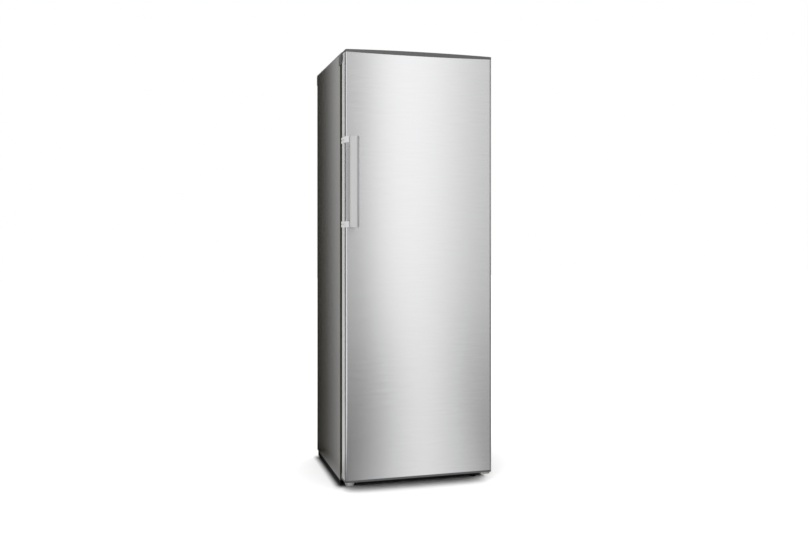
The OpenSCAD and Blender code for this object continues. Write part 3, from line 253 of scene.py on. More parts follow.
# Moulded white ABS: duller than the lining and without its slow waves, so trims stand off it.
MOULDED_WHITE = Finish(
    "moulded_white_abs", "#e0e2e2", 0.3, grain=(1.2, 1.2, 1.2), shade=0.02, relief=0.015,
)
# Plasticised PVC: the seal looks soft, and its near-black tone is partly painted shade for the
# dark gap between the door and the cabinet.
EXTRUDED_PVC = Finish("extruded_soft_pvc", "#101011", 0.65, grain=(2, 2, 60), relief=0.03, specular=0.2)
# Moulded rubber filled with soot: a dusty grey black without any highlight.
MOULDED_RUBBER = Finish(
    "moulded_black_rubber", "#242424", 0.75, grain=(1, 1, 1), shade=0.12, relief=0.05,
)
# Hot dip galvanised sheet: grey with broad pale spangle.
GALVANISED = Finish(
    "galvanised_sheet", "#b4b8ba", 0.42, metallic=1.0, grain=(14, 14, 14), shade=0.14, rough_swing=0.1,
)
# Zinc plating on screws, pins and brackets: a warm silver with a soft shine.
ZINC_PLATE = Finish("zinc_plated_steel", "#c9c9c4", 0.3, metallic=1.0, grain=(3, 3, 3), shade=0.08)
# Steel dipped in black paint: dull all over. Its near-black is partly painted shade, so the
# underside stays as dark as the shade under the fridge.
DIPPED_BLACK_AND_SHADE = Finish(
    "black_dipped_steel_and_shade", "#070707", 0.7, grain=(2, 2, 2), shade=0.05, relief=0.02, specular=0.06,
)
# Black electrocoat on wire and tube: even, with a dull shine.
BLACK_COAT = Finish(
    "black_electrocoat", "#0a0a0b", 0.45, grain=(1, 1, 1), shade=0.1, relief=0.02, specular=0.2,
)
# Black enamel stoved on the compressor's pot: wet highlights that run round its drawn shell.
STOVED_ENAMEL = Finish(
    "stoved_black_enamel", "#141416", 0.25, grain=(2.4, 2.4, 2.4), shade=0.1, relief=0.05, coat=0.4,
)
# Drawn copper, a little dulled: the one warm colour, with faint lines along the upright pipes.
DRAWN_COPPER = Finish("drawn_copper", "#c99578", 0.28, metallic=1.0, grain=(1, 1, 30), shade=0.12)
# Mill finished aluminium: soft grey with the rolling's long lines across the plate.
ROLLED_ALUMINIUM = Finish("rolled_aluminium", "#cfd2d5", 0.35, metallic=1.0, grain=(80, 1, 1))
# Polyurethane foamed in place: straw yellow, rough and without shine.
RIGID_FOAM = Finish(
    "rigid_polyurethane", "#d8c48a", 0.85, grain=(1.5, 1.5, 1.5), shade=0.12, relief=0.2,
)
# Injection moulded clear polystyrene: glassy, faintly blue, with pale edges.
CLEAR_POLYSTYRENE = Finish(
    "clear_polystyrene", "#dcecf0", 0.12, ior=1.59, grain=(30, 30, 30), shade=0.02, relief=0.02,
    alpha=0.42,
)
# Toughened float glass with ground edges, faintly green.
FLOAT_GLASS = Finish(
    "toughened_float_glass", "#d6ebe6", 0.04, ior=1.52, grain=(60, 60, 60), shade=0.01,
    rough_swing=0.01, relief=0.01, alpha=0.38,
)
# Blown soda glass of the bulb: a thin warm veil with one bright spot.
BLOWN_GLASS = Finish("blown_bulb_glass", "#f6efdd", 0.08, grain=(20, 20, 20), relief=0.01, alpha=0.7)


def coat_mesh(obj: bpy.types.Object, finish: Finish) -> None:
    """Gives an object one material and shades it smooth where its faces meet gently.

    Args:
        obj: the object.
        finish: the material and its making.
    """
    obj.data.materials.clear()
    obj.data.materials.append(finish.material())
    limit = math.radians(SMOOTH_LIMIT_DEG)
    mesh = bmesh.new()
    mesh.from_mesh(obj.data)
    for face in mesh.faces:
        face.smooth = True
    for edge in mesh.edges:
        edge.smooth = len(edge.link_faces) == 2 and edge.calc_face_angle(math.pi) < limit
    mesh.to_mesh(obj.data)
    mesh.free()


def ease_edges(obj: bpy.types.Object, width: float) -> None:
    """Rounds an object's sharp edges, as moulding and folding do.

    Args:
        obj: the object.
        width: the rounding's width in metres.
    """
    made = obj.modifiers.new("eased_edges", "BEVEL")
    made.width = width
    made.segments = EASE_STEPS
    made.limit_method = "ANGLE"
    made.angle_limit = math.radians(EDGE_LIMIT_DEG)
    made.harden_normals = True
    made.use_clamp_overlap = True


class Joining(Enum):
    """How a card's two ramps make its level."""

    SUM = "ADD"
    PRODUCT = "MULTIPLY"


@dataclass(frozen=True)
class Reflector:
    """A card that shapes the metal's reflections.

    Across and up are its levels along its width and height: each stop is a place from the middle in
    metres and a level.
    """

    name: str
    centre: tuple[float, float, float]
    size: tuple[float, float]
    tilt_deg: float
    turn_deg: float
    across: tuple[tuple[float, float], ...]
    up: tuple[tuple[float, float], ...]
    joining: Joining = Joining.SUM


@dataclass(frozen=True)
class Studio:
    """The pale room, its lamp, its cards and the camera at the photograph's place.

    The eye's depth is counted from the door's face, and sink is how far the picture is shifted
    down. Each of the contact's marks is an axis, where along it the painted shadow under the
    fridge begins and where it is full.
    """

    lens: float = 39.30
    sensor: float = 36.0
    yaw_deg: float = 15.76
    sink: float = -0.0468
    eye: tuple[float, float, float] = (-0.993, -3.286, 0.999)
    floor_side: float = 30.0
    floor_lift: float = 0.32
    lamp_place: tuple[float, float, float] = (-1.0, DOOR_Y - 2.6, 2.6)
    lamp_aim: tuple[float, float, float] = (0.0, DOOR_Y, 0.9)
    lamp_side: float = 1.6
    lamp_power: float = 25.0
    contact_depth: float = 0.93
    contact_marks: tuple[tuple[str, float, float], ...] = (
        ("X", -0.323, -0.297), ("X", 0.312, 0.296), ("Y", DOOR_Y + 0.06, DOOR_Y + 0.12),
        ("Y", DOOR_Y + 0.62, DOOR_Y + 0.56),
    )

    def camera(self) -> None:
        """Makes the camera, level and turned a little to the right."""
        data = bpy.data.cameras.new("camera")
        data.lens = self.lens
        data.sensor_width = self.sensor
        data.shift_y = self.sink
        obj = bpy.data.objects.new("camera", data)
        obj.location = (self.eye[0], DOOR_Y + self.eye[1], self.eye[2])
        obj.rotation_euler = (math.radians(90), 0, -math.radians(self.yaw_deg))
        bpy.context.scene.collection.objects.link(obj)
        bpy.context.scene.camera = obj

    def room(self) -> None:
        """Makes the white surround and the floor, which keeps the fridge's shadow."""
        world = bpy.data.worlds.new("white_surround")
        bpy.context.scene.world = world
        world.use_nodes = True
        tree = world.node_tree
        tree.nodes.clear()
        glow = add_node(tree, "ShaderNodeBackground", {"Strength": 1.0, "Color": (1, 1, 1, 1)})
        add_node(tree, "ShaderNodeOutputWorld", {"Surface": glow.outputs[0]})
        floor = self.sheet("floor", (0, 0, 0), (self.floor_side, self.floor_side), 0.0, 0.0)
        paint = bpy.data.materials.new("white_studio_floor")
        paint.use_nodes = True
        matt = paint.node_tree
        matt.nodes.clear()
        path = add_node(matt, "ShaderNodeLightPath")
        tone = add_node(
            matt,
            "ShaderNodeMath",
            {0: path.outputs["Is Camera Ray"], 1: self.floor_lift, 2: 1.0},
            operation="MULTIPLY_ADD",
        )
        face = add_node(matt, "ShaderNodeBsdfDiffuse", {"Color": self.contact(matt, tone.outputs[0])})
        add_node(matt, "ShaderNodeOutputMaterial", {"Surface": face.outputs[0]})
        floor.data.materials.append(paint)

    def contact(
        self, tree: bpy.types.NodeTree, tone: bpy.types.NodeSocket
    ) -> bpy.types.NodeSocket:
        """Paints shadow into the floor's tone under the fridge, where soft light leaves it too grey.

        Args:
            tree: the floor's nodes.
            tone: the floor's tone in the open.

        Returns:
            The tone with the painted shadow in it.
        """
        spot = add_node(
            tree, "ShaderNodeSeparateXYZ", {0: add_node(tree, "ShaderNodeNewGeometry").outputs["Position"]}
        )
        share = None
        for axis, light, dark in self.contact_marks:
            fade = add_node(
                tree,
                "ShaderNodeMapRange",
                {"Value": spot.outputs[axis], "From Min": light, "From Max": dark},
            ).outputs[0]
            if share is not None:
                fade = add_node(tree, "ShaderNodeMath", {0: share, 1: fade}, operation="MULTIPLY").outputs[0]
            share = fade
        kept = add_node(
            tree, "ShaderNodeMath", {0: share, 1: -self.contact_depth, 2: 1.0}, operation="MULTIPLY_ADD"
        )
        return add_node(
            tree, "ShaderNodeMath", {0: tone, 1: kept.outputs[0]}, operation="MULTIPLY"
        ).outputs[0]

    def sheet(
        self,
        name: str,
        centre: tuple[float, float, float],
        size: tuple[float, float],
        tilt_deg: float,
        turn_deg: float,
    ) -> bpy.types.Object:
        """Makes a flat sheet.

        Args:
            name: the sheet's name.
            centre: its middle in metres.
            size: its width and height.
            tilt_deg: 0 for a sheet on the floor and 90 for one that stands.
            turn_deg: its turn about the upright.

        Returns:
            The sheet.
        """
        mesh = bpy.data.meshes.new(name)
        w, h = size[0] / 2, size[1] / 2
        mesh.from_pydata([(-w, -h, 0), (w, -h, 0), (w, h, 0), (-w, h, 0)], [], [(0, 1, 2, 3)])
        obj = bpy.data.objects.new(name, mesh)
        obj.location = centre
        obj.rotation_euler = (math.radians(tilt_deg), 0, math.radians(turn_deg))
        bpy.context.scene.collection.objects.link(obj)
        return obj

    def reflector(self, card: Reflector) -> None:
        """Makes a card that only reflections see, whose level comes from two ramps."""
        obj = self.sheet(card.name, card.centre, card.size, card.tilt_deg, card.turn_deg)
        obj.visible_camera = False
        obj.visible_diffuse = False
        obj.visible_shadow = False
        obj.visible_transmission = False
        glow = bpy.data.materials.new(card.name + "_glow")
        glow.use_nodes = True
        tree = glow.node_tree
        tree.nodes.clear()
        place = add_node(tree, "ShaderNodeTexCoord")
        axes = add_node(tree, "ShaderNodeSeparateXYZ", {"Vector": place.outputs["Object"]})
        across = self.ramp(tree, axes.outputs["X"], card.size[0], card.across)
        up = self.ramp(tree, axes.outputs["Y"], card.size[1], card.up)
        level = add_node(tree, "ShaderNodeMath", {0: across, 1: up}, operation=card.joining.value)
        lit = add_node(tree, "ShaderNodeEmission", {"Strength": level.outputs[0]})
        add_node(tree, "ShaderNodeOutputMaterial", {"Surface": lit.outputs[0]})
        obj.data.materials.append(glow)

    def ramp(
        self,
        tree: bpy.types.NodeTree,
        along: bpy.types.NodeSocket,
        length: float,
        stops: tuple[tuple[float, float], ...],
    ) -> bpy.types.NodeSocket:
        """Returns a level that follows the stops.

        A ramp's colours end at 1, so they hold shares of RAMP_TOP, which are multiplied up after it.

        Args:
            tree: the card's nodes.
            along: the place along the card, in metres from its middle.
            length: the card's length that way.
            stops: places and levels, in order.

        Returns:
            The level.
        """
        share = add_node(
            tree, "ShaderNodeMapRange", {"Value": along, "From Min": -length / 2, "From Max": length / 2}
        )
        made = add_node(tree, "ShaderNodeValToRGB", {"Fac": share.outputs["Result"]})
        made.color_ramp.interpolation = "B_SPLINE"
        marks = made.color_ramp.elements
        while len(marks) < len(stops):
            marks.new(0.5)
        for mark, (place, level) in zip(marks, stops):
            mark.position = place / length + 0.5
            share_of_top = level / RAMP_TOP
            mark.color = (share_of_top, share_of_top, share_of_top, 1)
        raised = add_node(
            tree, "ShaderNodeMath", {0: made.outputs["Color"], 1: RAMP_TOP}, operation="MULTIPLY"
        )
        return raised.outputs[0]

    def lamp(self) -> None:
        """Makes the soft square lamp, which faces the door and which reflections don't see."""
        data = bpy.data.lights.new("front_softbox", "AREA")
        data.shape = "RECTANGLE"
        data.size = self.lamp_side
        data.size_y = self.lamp_side
        data.energy = self.lamp_power
        obj = bpy.data.objects.new("front_softbox", data)
        obj.location = self.lamp_place
        aim = Vector(self.lamp_aim) - Vector(self.lamp_place)
        obj.rotation_euler = aim.to_track_quat("-Z", "Y").to_euler()
        obj.visible_camera = False
        obj.visible_glossy = False
        bpy.context.scene.collection.objects.link(obj)

    def build(self) -> None:
        """Makes the camera, the room, the lamp and the cards that the metal reflects."""
        self.camera()
        self.room()
        self.lamp()
        for card in REFLECTORS:
            self.reflector(card)


REFLECTORS = (
    # What the door mirrors, from left to right: a narrow peak for its rounded edge, a dark gap, a
    # broad band of light and a slow fall.
    Reflector(
        "front_wall", (-0.263, DOOR_Y - 3.881, 2.4), (5.36, 5.0), 90.0, 16.8,
        (
            (-2.68, 0.0), (-0.03, 0.0), (0.12, 0.3), (0.3, 1.2), (0.44, 0.15), (0.58, 0.0), (0.91, 0.0),
            (1.01, 0.66), (1.1, 0.86), (1.34, 0.86), (1.57, 0.72), (1.73, 0.43), (1.9, 0.3), (2.22, 0.15),
            (2.68, 0.05),
        ),
        ((-2.5, 0.36), (-1.45, 0.49), (-0.45, 0.51), (0.0, 0.49), (2.5, 0.6)),
    ),
    # The same for the lower part of the door, which mirrors the floor in front of it.
    Reflector(
        "front_floor", (0.48, DOOR_Y - 1.6, 0.004), (6.0, 4.0), 0.0, 16.8,
        (
            (-3.0, 0.9), (-1.05, 0.9), (-0.75, 0.5), (-0.5, 0.0), (-0.35, 0.05), (-0.24, 0.27),
            (-0.12, 0.68), (0.0, 0.98), (0.12, 0.8), (0.24, 0.5), (0.3, 0.33), (0.6, 0.09), (3.0, 0.0),
        ),
        ((-2.0, 0.2), (0.0, 0.12), (2.0, 0.03)),
    ),
    # A strip of light on the floor beside the cabinet, for the lower end of the painted side.
    Reflector(
        "side_floor", (-0.329, DOOR_Y + 0.36, 0.006), (0.062, 0.56), 0.0, 0.0,
        ((-0.031, 0.0), (0.031, 0.0)),
        ((-0.28, 0.6), (-0.15, 0.6), (-0.05, 0.52), (0.05, 0.4), (0.15, 0.22), (0.22, 0.12), (0.28, 0.06)),
    ),
    # A pale strip that lights the side wall of the door's steel pan, above the floor and on it.
    Reflector(
        "pan_card", (-0.36, DOOR_Y + 0.33, 1.4), (0.11, 3.2), 90.0, 90.0,
        ((-0.055, 0.85), (0.055, 0.85)), ((-1.6, 0.0), (1.6, 0.0)),
    ),
    Reflector(
        "pan_floor", (-0.687, DOOR_Y + 1.75, 0.006), (0.1, 2.56), 0.0, 12.5,
        ((-0.05, 0.95), (0.05, 0.95)), ((-1.28, 0.0), (1.28, 0.0)),
    ),
    # Cards behind and beside the handle's bar, which keep its chamfers from mirroring the dark.
    Reflector(
        "bar_back_card", (-0.269, DOOR_Y - 0.03, 1.19), (0.04, 0.3), 90.0, 0.0,
        ((-0.02, 0.5), (0.02, 0.5)), ((-0.15, 0.0), (0.15, 0.0)),
    ),
    Reflector(
        "bar_side_card", (-0.33, DOOR_Y - 0.03, 1.19), (0.06, 0.3), 90.0, 0.0,
        ((-0.03, 0.5), (0.03, 0.5)), ((-0.15, 0.0), (0.15, 0.0)),
    ),
    # What the painted side mirrors: bright by the door and dark towards the back.
    Reflector(
        "side_card", (-0.36, DOOR_Y + 1.2, 1.4), (1.62, 3.2), 90.0, 90.0,
        (
            (-0.81, 1.15), (-0.75, 0.98), (-0.67, 0.69), (-0.6, 0.46), (-0.54, 0.31), (-0.487, 0.22),
            (-0.41, 0.12), (-0.33, 0.05), (-0.25, 0.02), (0.81, 0.0),
        ),
        ((-1.6, 0.52), (-1.3, 0.56), (-0.69, 0.7), (0.13, 1.0), (1.6, 1.05)),
        Joining.PRODUCT,
    ),
    # Dark surroundings for the painted side, and the pale patch of floor that it mirrors far off.
    Reflector(
        "left_flag", (-2.2, DOOR_Y + 3.9, 1.6), (8.4, 3.2), 90.0, 90.0,
        ((-4.2, 0.06), (4.2, 0.02)), ((-1.6, 0.0), (1.6, 0.0)),
    ),
    Reflector(
        "left_floor", (-1.27, DOOR_Y + 1.8, 0.003), (1.95, 4.2), 0.0, 0.0,
        ((-0.97, 0.06), (0.32, 0.06), (0.55, 0.95), (0.9, 0.95), (0.92, 0.06), (0.97, 0.06)),
        ((-2.1, 0.06), (-0.7, 0.06), (-0.5, 1.0), (2.1, 1.0)),
        Joining.PRODUCT,
    ),
    # A window of light for the bar's right chamfer, before the dark surroundings on the right.
    Reflector(
        "bar_window", (3.15, DOOR_Y - 1.14, 1.45), (1.2, 1.4), 90.0, 90.0,
        ((-0.6, 0.95), (0.6, 0.95)), ((-0.7, 0.0), (0.7, 0.0)),
    ),
    Reflector(
        "right_flag", (3.2, DOOR_Y - 0.15, 1.2), (8.7, 4.0), 90.0, 90.0,
        ((-4.35, 0.0), (0.2, 0.0), (0.45, 0.45), (4.35, 0.45)), ((-1.2, 0.01), (1.0, 0.04), (2.0, 0.1)),
    ),
)


class Body(Enum):
    """The bodies of the frame that pieces ride on."""

    CABINET = "cabinet"
    DOOR = "door"
    KNOB = "knob_body"
    FOOT_LEFT = "foot_left_body"
    FOOT_RIGHT = "foot_right_body"


class Form(Enum):
    """The outline of a turned piece at one height."""

    ROUND = "round"
    HEXAGON = "hexagon"
    FLUTED = "fluted"
    CROSS = "cross"


@dataclass(frozen=True)
class Ring:
    """One height of a turned piece, in millimetres. Flutes and cut count and deepen its hollows."""

    radius: float
    height: float
    form: Form = Form.ROUND
    flutes: int = 12
    cut: float = 1.6

    def reach(self, angle: float) -> float:
        """Returns the outline's radius.

        Args:
            angle: the direction from the axis, in radians.

        Returns:
            The radius in metres.
        """
        if self.form is Form.HEXAGON:
            off = angle % math.radians(60) - math.radians(30)
            return self.radius * MM * math.cos(math.radians(30)) / math.cos(off)
        if self.form is Form.FLUTED:
            dip = max(0.0, math.cos(self.flutes * angle)) ** 2
            return (self.radius - self.cut * dip) * MM
        if self.form is Form.CROSS:
            arm = abs(math.cos(2 * angle)) > CROSS_ARM
            return self.radius * MM * (1.0 if arm else CROSS_WAIST)
        return self.radius * MM

    def points(self, steps: int) -> list[Vector]:
        """Returns the outline's points, or one point where the radius is 0.

        Args:
            steps: the number of points.

        Returns:
            The points in metres.
        """
        angles = [0.0] if self.radius == 0 else [math.tau * k / steps for k in range(steps)]
        tall = self.height * MM
        return [Vector((self.reach(a) * math.cos(a), self.reach(a) * math.sin(a), tall)) for a in angles]


def bridge(
    mesh: bmesh.types.BMesh, low: list[bmesh.types.BMVert], high: list[bmesh.types.BMVert]
) -> None:
    """Joins two closed rings of points with faces, where a ring may be a single point.

    Args:
        mesh: the mesh to add to.
        low: the first ring.
        high: the second ring.
    """
    count = max(len(low), len(high))
    for k in range(count):
        n = (k + 1) % count
        corners = [low[k % len(low)], low[n % len(low)], high[n % len(high)], high[k % len(high)]]
        mesh.faces.new(list(dict.fromkeys(corners)))


def turned(
    mesh: bmesh.types.BMesh, rings: list[Ring], place: Matrix, steps: int = 48, closed: bool = False
) -> None:
    """Adds a turned piece to a mesh.

    Args:
        mesh: the mesh to add to.
        rings: the outline from one end to the other; a radius of 0 closes an end.
        place: where the piece's own axis and zero height lie.
        steps: the number of points round the axis.
        closed: whether the last ring joins the first, as in a sleeve.
    """
    made = [[mesh.verts.new(place @ point) for point in ring.points(steps)] for ring in rings]
    for low, high in zip(made, made[1:] + made[:1] if closed else made[1:]):
        bridge(mesh, low, high)


def stacked(
    mesh: bmesh.types.BMesh, outlines: list[tuple[list[tuple[float, float]], float]], place: Matrix
) -> None:
    """Adds a solid whose level outlines are joined and whose two ends are closed.

    Args:
        mesh: the mesh to add to.
        outlines: each outline's points and its height, in millimetres.
        place: where the piece's own origin lies.
    """
    levels = [
        [mesh.verts.new(place @ Vector((x * MM, y * MM, z * MM))) for x, y in ring] for ring, z in outlines
    ]
    for near, far in zip(levels, levels[1:]):
        bridge(mesh, near, far)
    mesh.faces.new(levels[0])
    mesh.faces.new(levels[-1])


def oblong_ring(half_x: float, half_y: float, radius: float, steps: int = 6) -> list[tuple[float, float]]:
    """Returns points round a rounded oblong about the origin, in the units given.

    Args:
        half_x: half its length along X.
        half_y: half its length along Y.
        radius: its corners' radius.
        steps: the number of steps round a corner.

    Returns:
        The points.
    """
    points = []
    for corner, (sx, sy) in enumerate(((1, 1), (-1, 1), (-1, -1), (1, -1))):
        for k in range(steps + 1):
            angle = math.radians(90 * corner + 90 * k / steps)
            points.append(
                (
                    sx * (half_x - radius) + radius * math.cos(angle),
                    sy * (half_y - radius) + radius * math.sin(angle),
                )
            )
    return points


def islands(node: str) -> list[list[Vector]]:
    """Returns the points of each separate solid of a CAD node.

    Args:
        node: the node's name.

    Returns:
        One list of points for each solid, in a fixed order.
    """
    mesh = bmesh.new()
    mesh.from_mesh(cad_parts[node].data)
    bmesh.ops.remove_doubles(mesh, verts=mesh.verts, dist=WELD)
    left = set(mesh.verts)
    found = []
    while left:
        edge = [left.pop()]
        group = []
        while edge:
            vert = edge.pop()
            group.append(vert.co.copy())
            for link in vert.link_edges:
                other = link.other_vert(vert)
                if other in left:
                    left.remove(other)
                    edge.append(other)
        found.append(group)
    mesh.free()
    return sorted(found, key=lambda group: tuple(round(c, 4) for c in group[0]))


class SubAssembly:
    """What every sub-assembly can do with CAD nodes and with pieces of its own."""

    def dress(self, finish: Finish, nodes: tuple[str, ...], ease: float = 0.0) -> None:
        """Gives CAD nodes a finish.

        Args:
            finish: the surface.
            nodes: the nodes' names.
            ease: how wide their edges are rounded, in millimetres.
        """
        for name in nodes:
            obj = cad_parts[name]
            coat_mesh(obj, finish)
            if ease:
                ease_edges(obj, ease * MM)
            LOG.info("%s: dressed %s", type(self).__name__, name)

    def piece(
        self,
        name: str,
        mesh: bmesh.types.BMesh,
        body: Body,
        finish: Finish,
        slot: str,
        nodes: tuple[str, ...],
    ) -> None:
        """Makes a piece of a mesh.

        Args:
            name: the piece's name.
            mesh: its mesh, which this uses up.
            body: the body that it rides on.
            finish: its surface.
            slot: the record's material slot that it stands for; not used.
            nodes: the CAD nodes that it stands for.
        """
        bmesh.ops.recalc_face_normals(mesh, faces=mesh.faces)
        data = bpy.data.meshes.new(name)
        mesh.to_mesh(data)
        mesh.free()
        obj = bpy.data.objects.new(name, data)
        bpy.context.scene.collection.objects.link(obj)
        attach(obj, body.value)
        if nodes:
            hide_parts(*nodes)
        coat_mesh(obj, finish)
        LOG.info("%s: made %s", type(self).__name__, name)

    def screws(self, node: str, body: Body, head: tuple[Ring, ...], thread: float) -> None:
        """Stands threaded screws for the plain ones of a CAD node.

        Args:
            node: the CAD node, whose every solid is one screw.
            body: the body that the screws ride on.
            head: the head from its rim to its top; height 0 is its top.
            thread: the radius of the shank in millimetres.
        """
        mesh = bmesh.new()
        for points in islands(node):
            low = Vector([min(p[i] for p in points) for i in range(3)])
            high = Vector([max(p[i] for p in points) for i in range(3)])
            size = high - low
            # The longest side is the screw's line, and the widest points are its head's. The handle's
            # screws are shorter than their heads are wide, so they stand upright: a known fault.
            along = max(range(3), key=lambda i: size[i])
            middle = (low + high) / 2
            line = Vector([i == along for i in range(3)])
            widest = max(points, key=lambda p: (p - middle).cross(line).length)
            way = 1 if widest[along] > middle[along] else -1
            axis = Vector([way * (i == along) for i in range(3)])
            top = middle + axis * size[along] / 2
            place = Matrix.Translation(top) @ axis.to_track_quat("Z", "Y").to_matrix().to_4x4()
            length = size[along] / MM
            pitch = thread / RADIUS_PER_PITCH
            turns = int((length + head[0].height) / pitch)
            shank = [Ring(0, -length), Ring(thread * THREAD_TIP, -length)]
            for k in range(turns):
                shank.append(Ring(thread * THREAD_ROOT, -length + (k + ROOT_AT) * pitch))
                shank.append(Ring(thread, -length + (k + CREST_AT) * pitch))
            shank.append(Ring(thread, head[0].height - 0.05))
            turned(mesh, shank + [Ring(0, head[0].height)], place, steps=20)
            turned(mesh, [Ring(0, head[0].height)] + list(head), place)
        self.piece(node + "_threaded", mesh, body, ZINC_PLATE, "zinc_steel", (node,))


@dataclass(frozen=True)
class DoorAssembly(SubAssembly):
    """The door: its steel pan, caps, handle, lining, bins and seal, in millimetres.

    The seal's section is insets from its outline and depths behind its front, and its corners are
    sharper the further in they lie.
    """

    edge: float = 0.6
    bar_edge: float = 0.9
    cap_edge: float = 1.0
    screw_radius: float = 2.0
    screw_head: tuple[Ring, ...] = (
        Ring(2.4, -1.0), Ring(2.4, -0.4), Ring(2.1, -0.05), Ring(1.7, 0.0),
        Ring(1.5, -0.05, Form.CROSS), Ring(1.1, -0.8, Form.CROSS), Ring(0, -1.0),
    )
    seal_radius: float = 8.0
    seal_closing: float = 0.2
    seal_section: tuple[tuple[float, float], ...] = (
        (0.6, 0.0), (0.0, 0.8), (0.0, 3.2), (0.8, 4.2), (3.6, 4.6), (4.6, 5.6), (3.2, 7.2), (2.4, 8.4),
        (3.6, 9.8), (4.4, 10.8), (2.0, 11.4), (1.0, 12.6), (1.0, 16.4), (2.0, 17.6), (12.0, 17.6),
        (13.0, 16.4), (13.0, 12.6), (12.0, 11.4), (9.6, 10.8), (10.4, 9.8), (11.6, 8.4), (10.8, 7.2),
        (9.4, 5.6), (10.4, 4.6), (13.2, 4.2), (14.0, 3.2), (14.0, 0.8), (13.4, 0.0),
    )

    def outside(self) -> None:
        """Dresses what shows of the closed door."""
        self.dress(BRUSHED_STEEL, ("door_skin",))
        self.dress(MOULDED_ABS, ("door_top_cap", "door_bottom_cap"), self.cap_edge)
        # The side trims' black is partly painted shade, for the dark gap between door and cabinet.
        self.dress(MOULDED_BLACK_AND_SHADE, ("door_side_trims",))

    def handle(self) -> None:
        """Dresses the bar and its two brackets and cuts a cross in the screws' heads."""
        self.dress(GROUND_STEEL, ("handle_bar",), self.bar_edge)
        self.dress(SILVER_LACQUER, ("handle_bracket_upper", "handle_bracket_lower"), self.edge)
        self.screws("handle_screws", Body.DOOR, self.screw_head, self.screw_radius)

    def lining(self) -> None:
        """Dresses the foam, the white lining, the bushes and the clear bins."""
        self.dress(RIGID_FOAM, ("door_foam",))
        self.dress(FORMED_WHITE, ("door_liner",))
        self.dress(MOULDED_WHITE, ("door_bushes",))
        bins = ("door_bin_1", "door_bin_2", "door_bin_3", "bottle_bin")
        self.dress(CLEAR_POLYSTYRENE, bins, self.edge)

    def seal(self) -> None:
        """Makes the seal: a base, a folded bellows and the bulb that holds the magnet."""
        low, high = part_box("door_gasket")
        half_x = (high.x - low.x) / 2 / MM
        half_z = (high.z - low.z) / 2 / MM
        middle = (low + high) / 2
        mesh = bmesh.new()
        rings = []
        for inset, depth in self.seal_section:
            ring = oblong_ring(half_x - inset, half_z - inset, self.seal_radius - self.seal_closing * inset)
            rings.append(
                [mesh.verts.new((middle.x + x * MM, low.y + depth * MM, middle.z + z * MM)) for x, z in ring]
            )
        for near, far in zip(rings, rings[1:] + rings[:1]):
            bridge(mesh, near, far)
        # The seal's near-black is partly painted shade, for the same gap by the door.
        self.piece("magnetic_seal", mesh, Body.DOOR, EXTRUDED_PVC, "rubber", ("door_gasket",))

    def build(self) -> None:
        """Builds and dresses the door."""
        self.outside()
        self.handle()
        self.lining()
        self.seal()


@dataclass(frozen=True)
class Cabinet(SubAssembly):
    """The cabinet's shell, its top, its back and its hinges, in millimetres."""

    edge: float = 0.8
    screw_radius: float = 3.0
    screw_head: tuple[Ring, ...] = (
        Ring(5.4, -3.0, Form.HEXAGON), Ring(5.5, -2.7, Form.HEXAGON), Ring(5.5, -0.6, Form.HEXAGON),
        Ring(4.6, 0.0), Ring(0, -0.3),
    )

    def shell(self) -> None:
        """Dresses the painted wrap, the back, the foam and the lining."""
        self.dress(POWDER_COAT, ("outer_wrap",))
        self.dress(MOULDED_ABS, ("top_cover", "top_hinge_cover"), self.edge)
        self.dress(GALVANISED, ("back_panel", "niche_panel"))
        self.dress(RIGID_FOAM, ("foam_insulation",))
        self.dress(FORMED_WHITE, ("inner_liner",))

    def hinges(self) -> None:
        """Dresses the brackets and pins and threads the screws."""
        self.dress(ZINC_PLATE, ("top_hinge_bracket", "bottom_hinge_bracket", "hinge_pins"))
        self.screws("cabinet_screws", Body.CABINET, self.screw_head, self.screw_radius)

    def build(self) -> None:
        """Builds and dresses the cabinet."""
        self.shell()
        self.hinges()


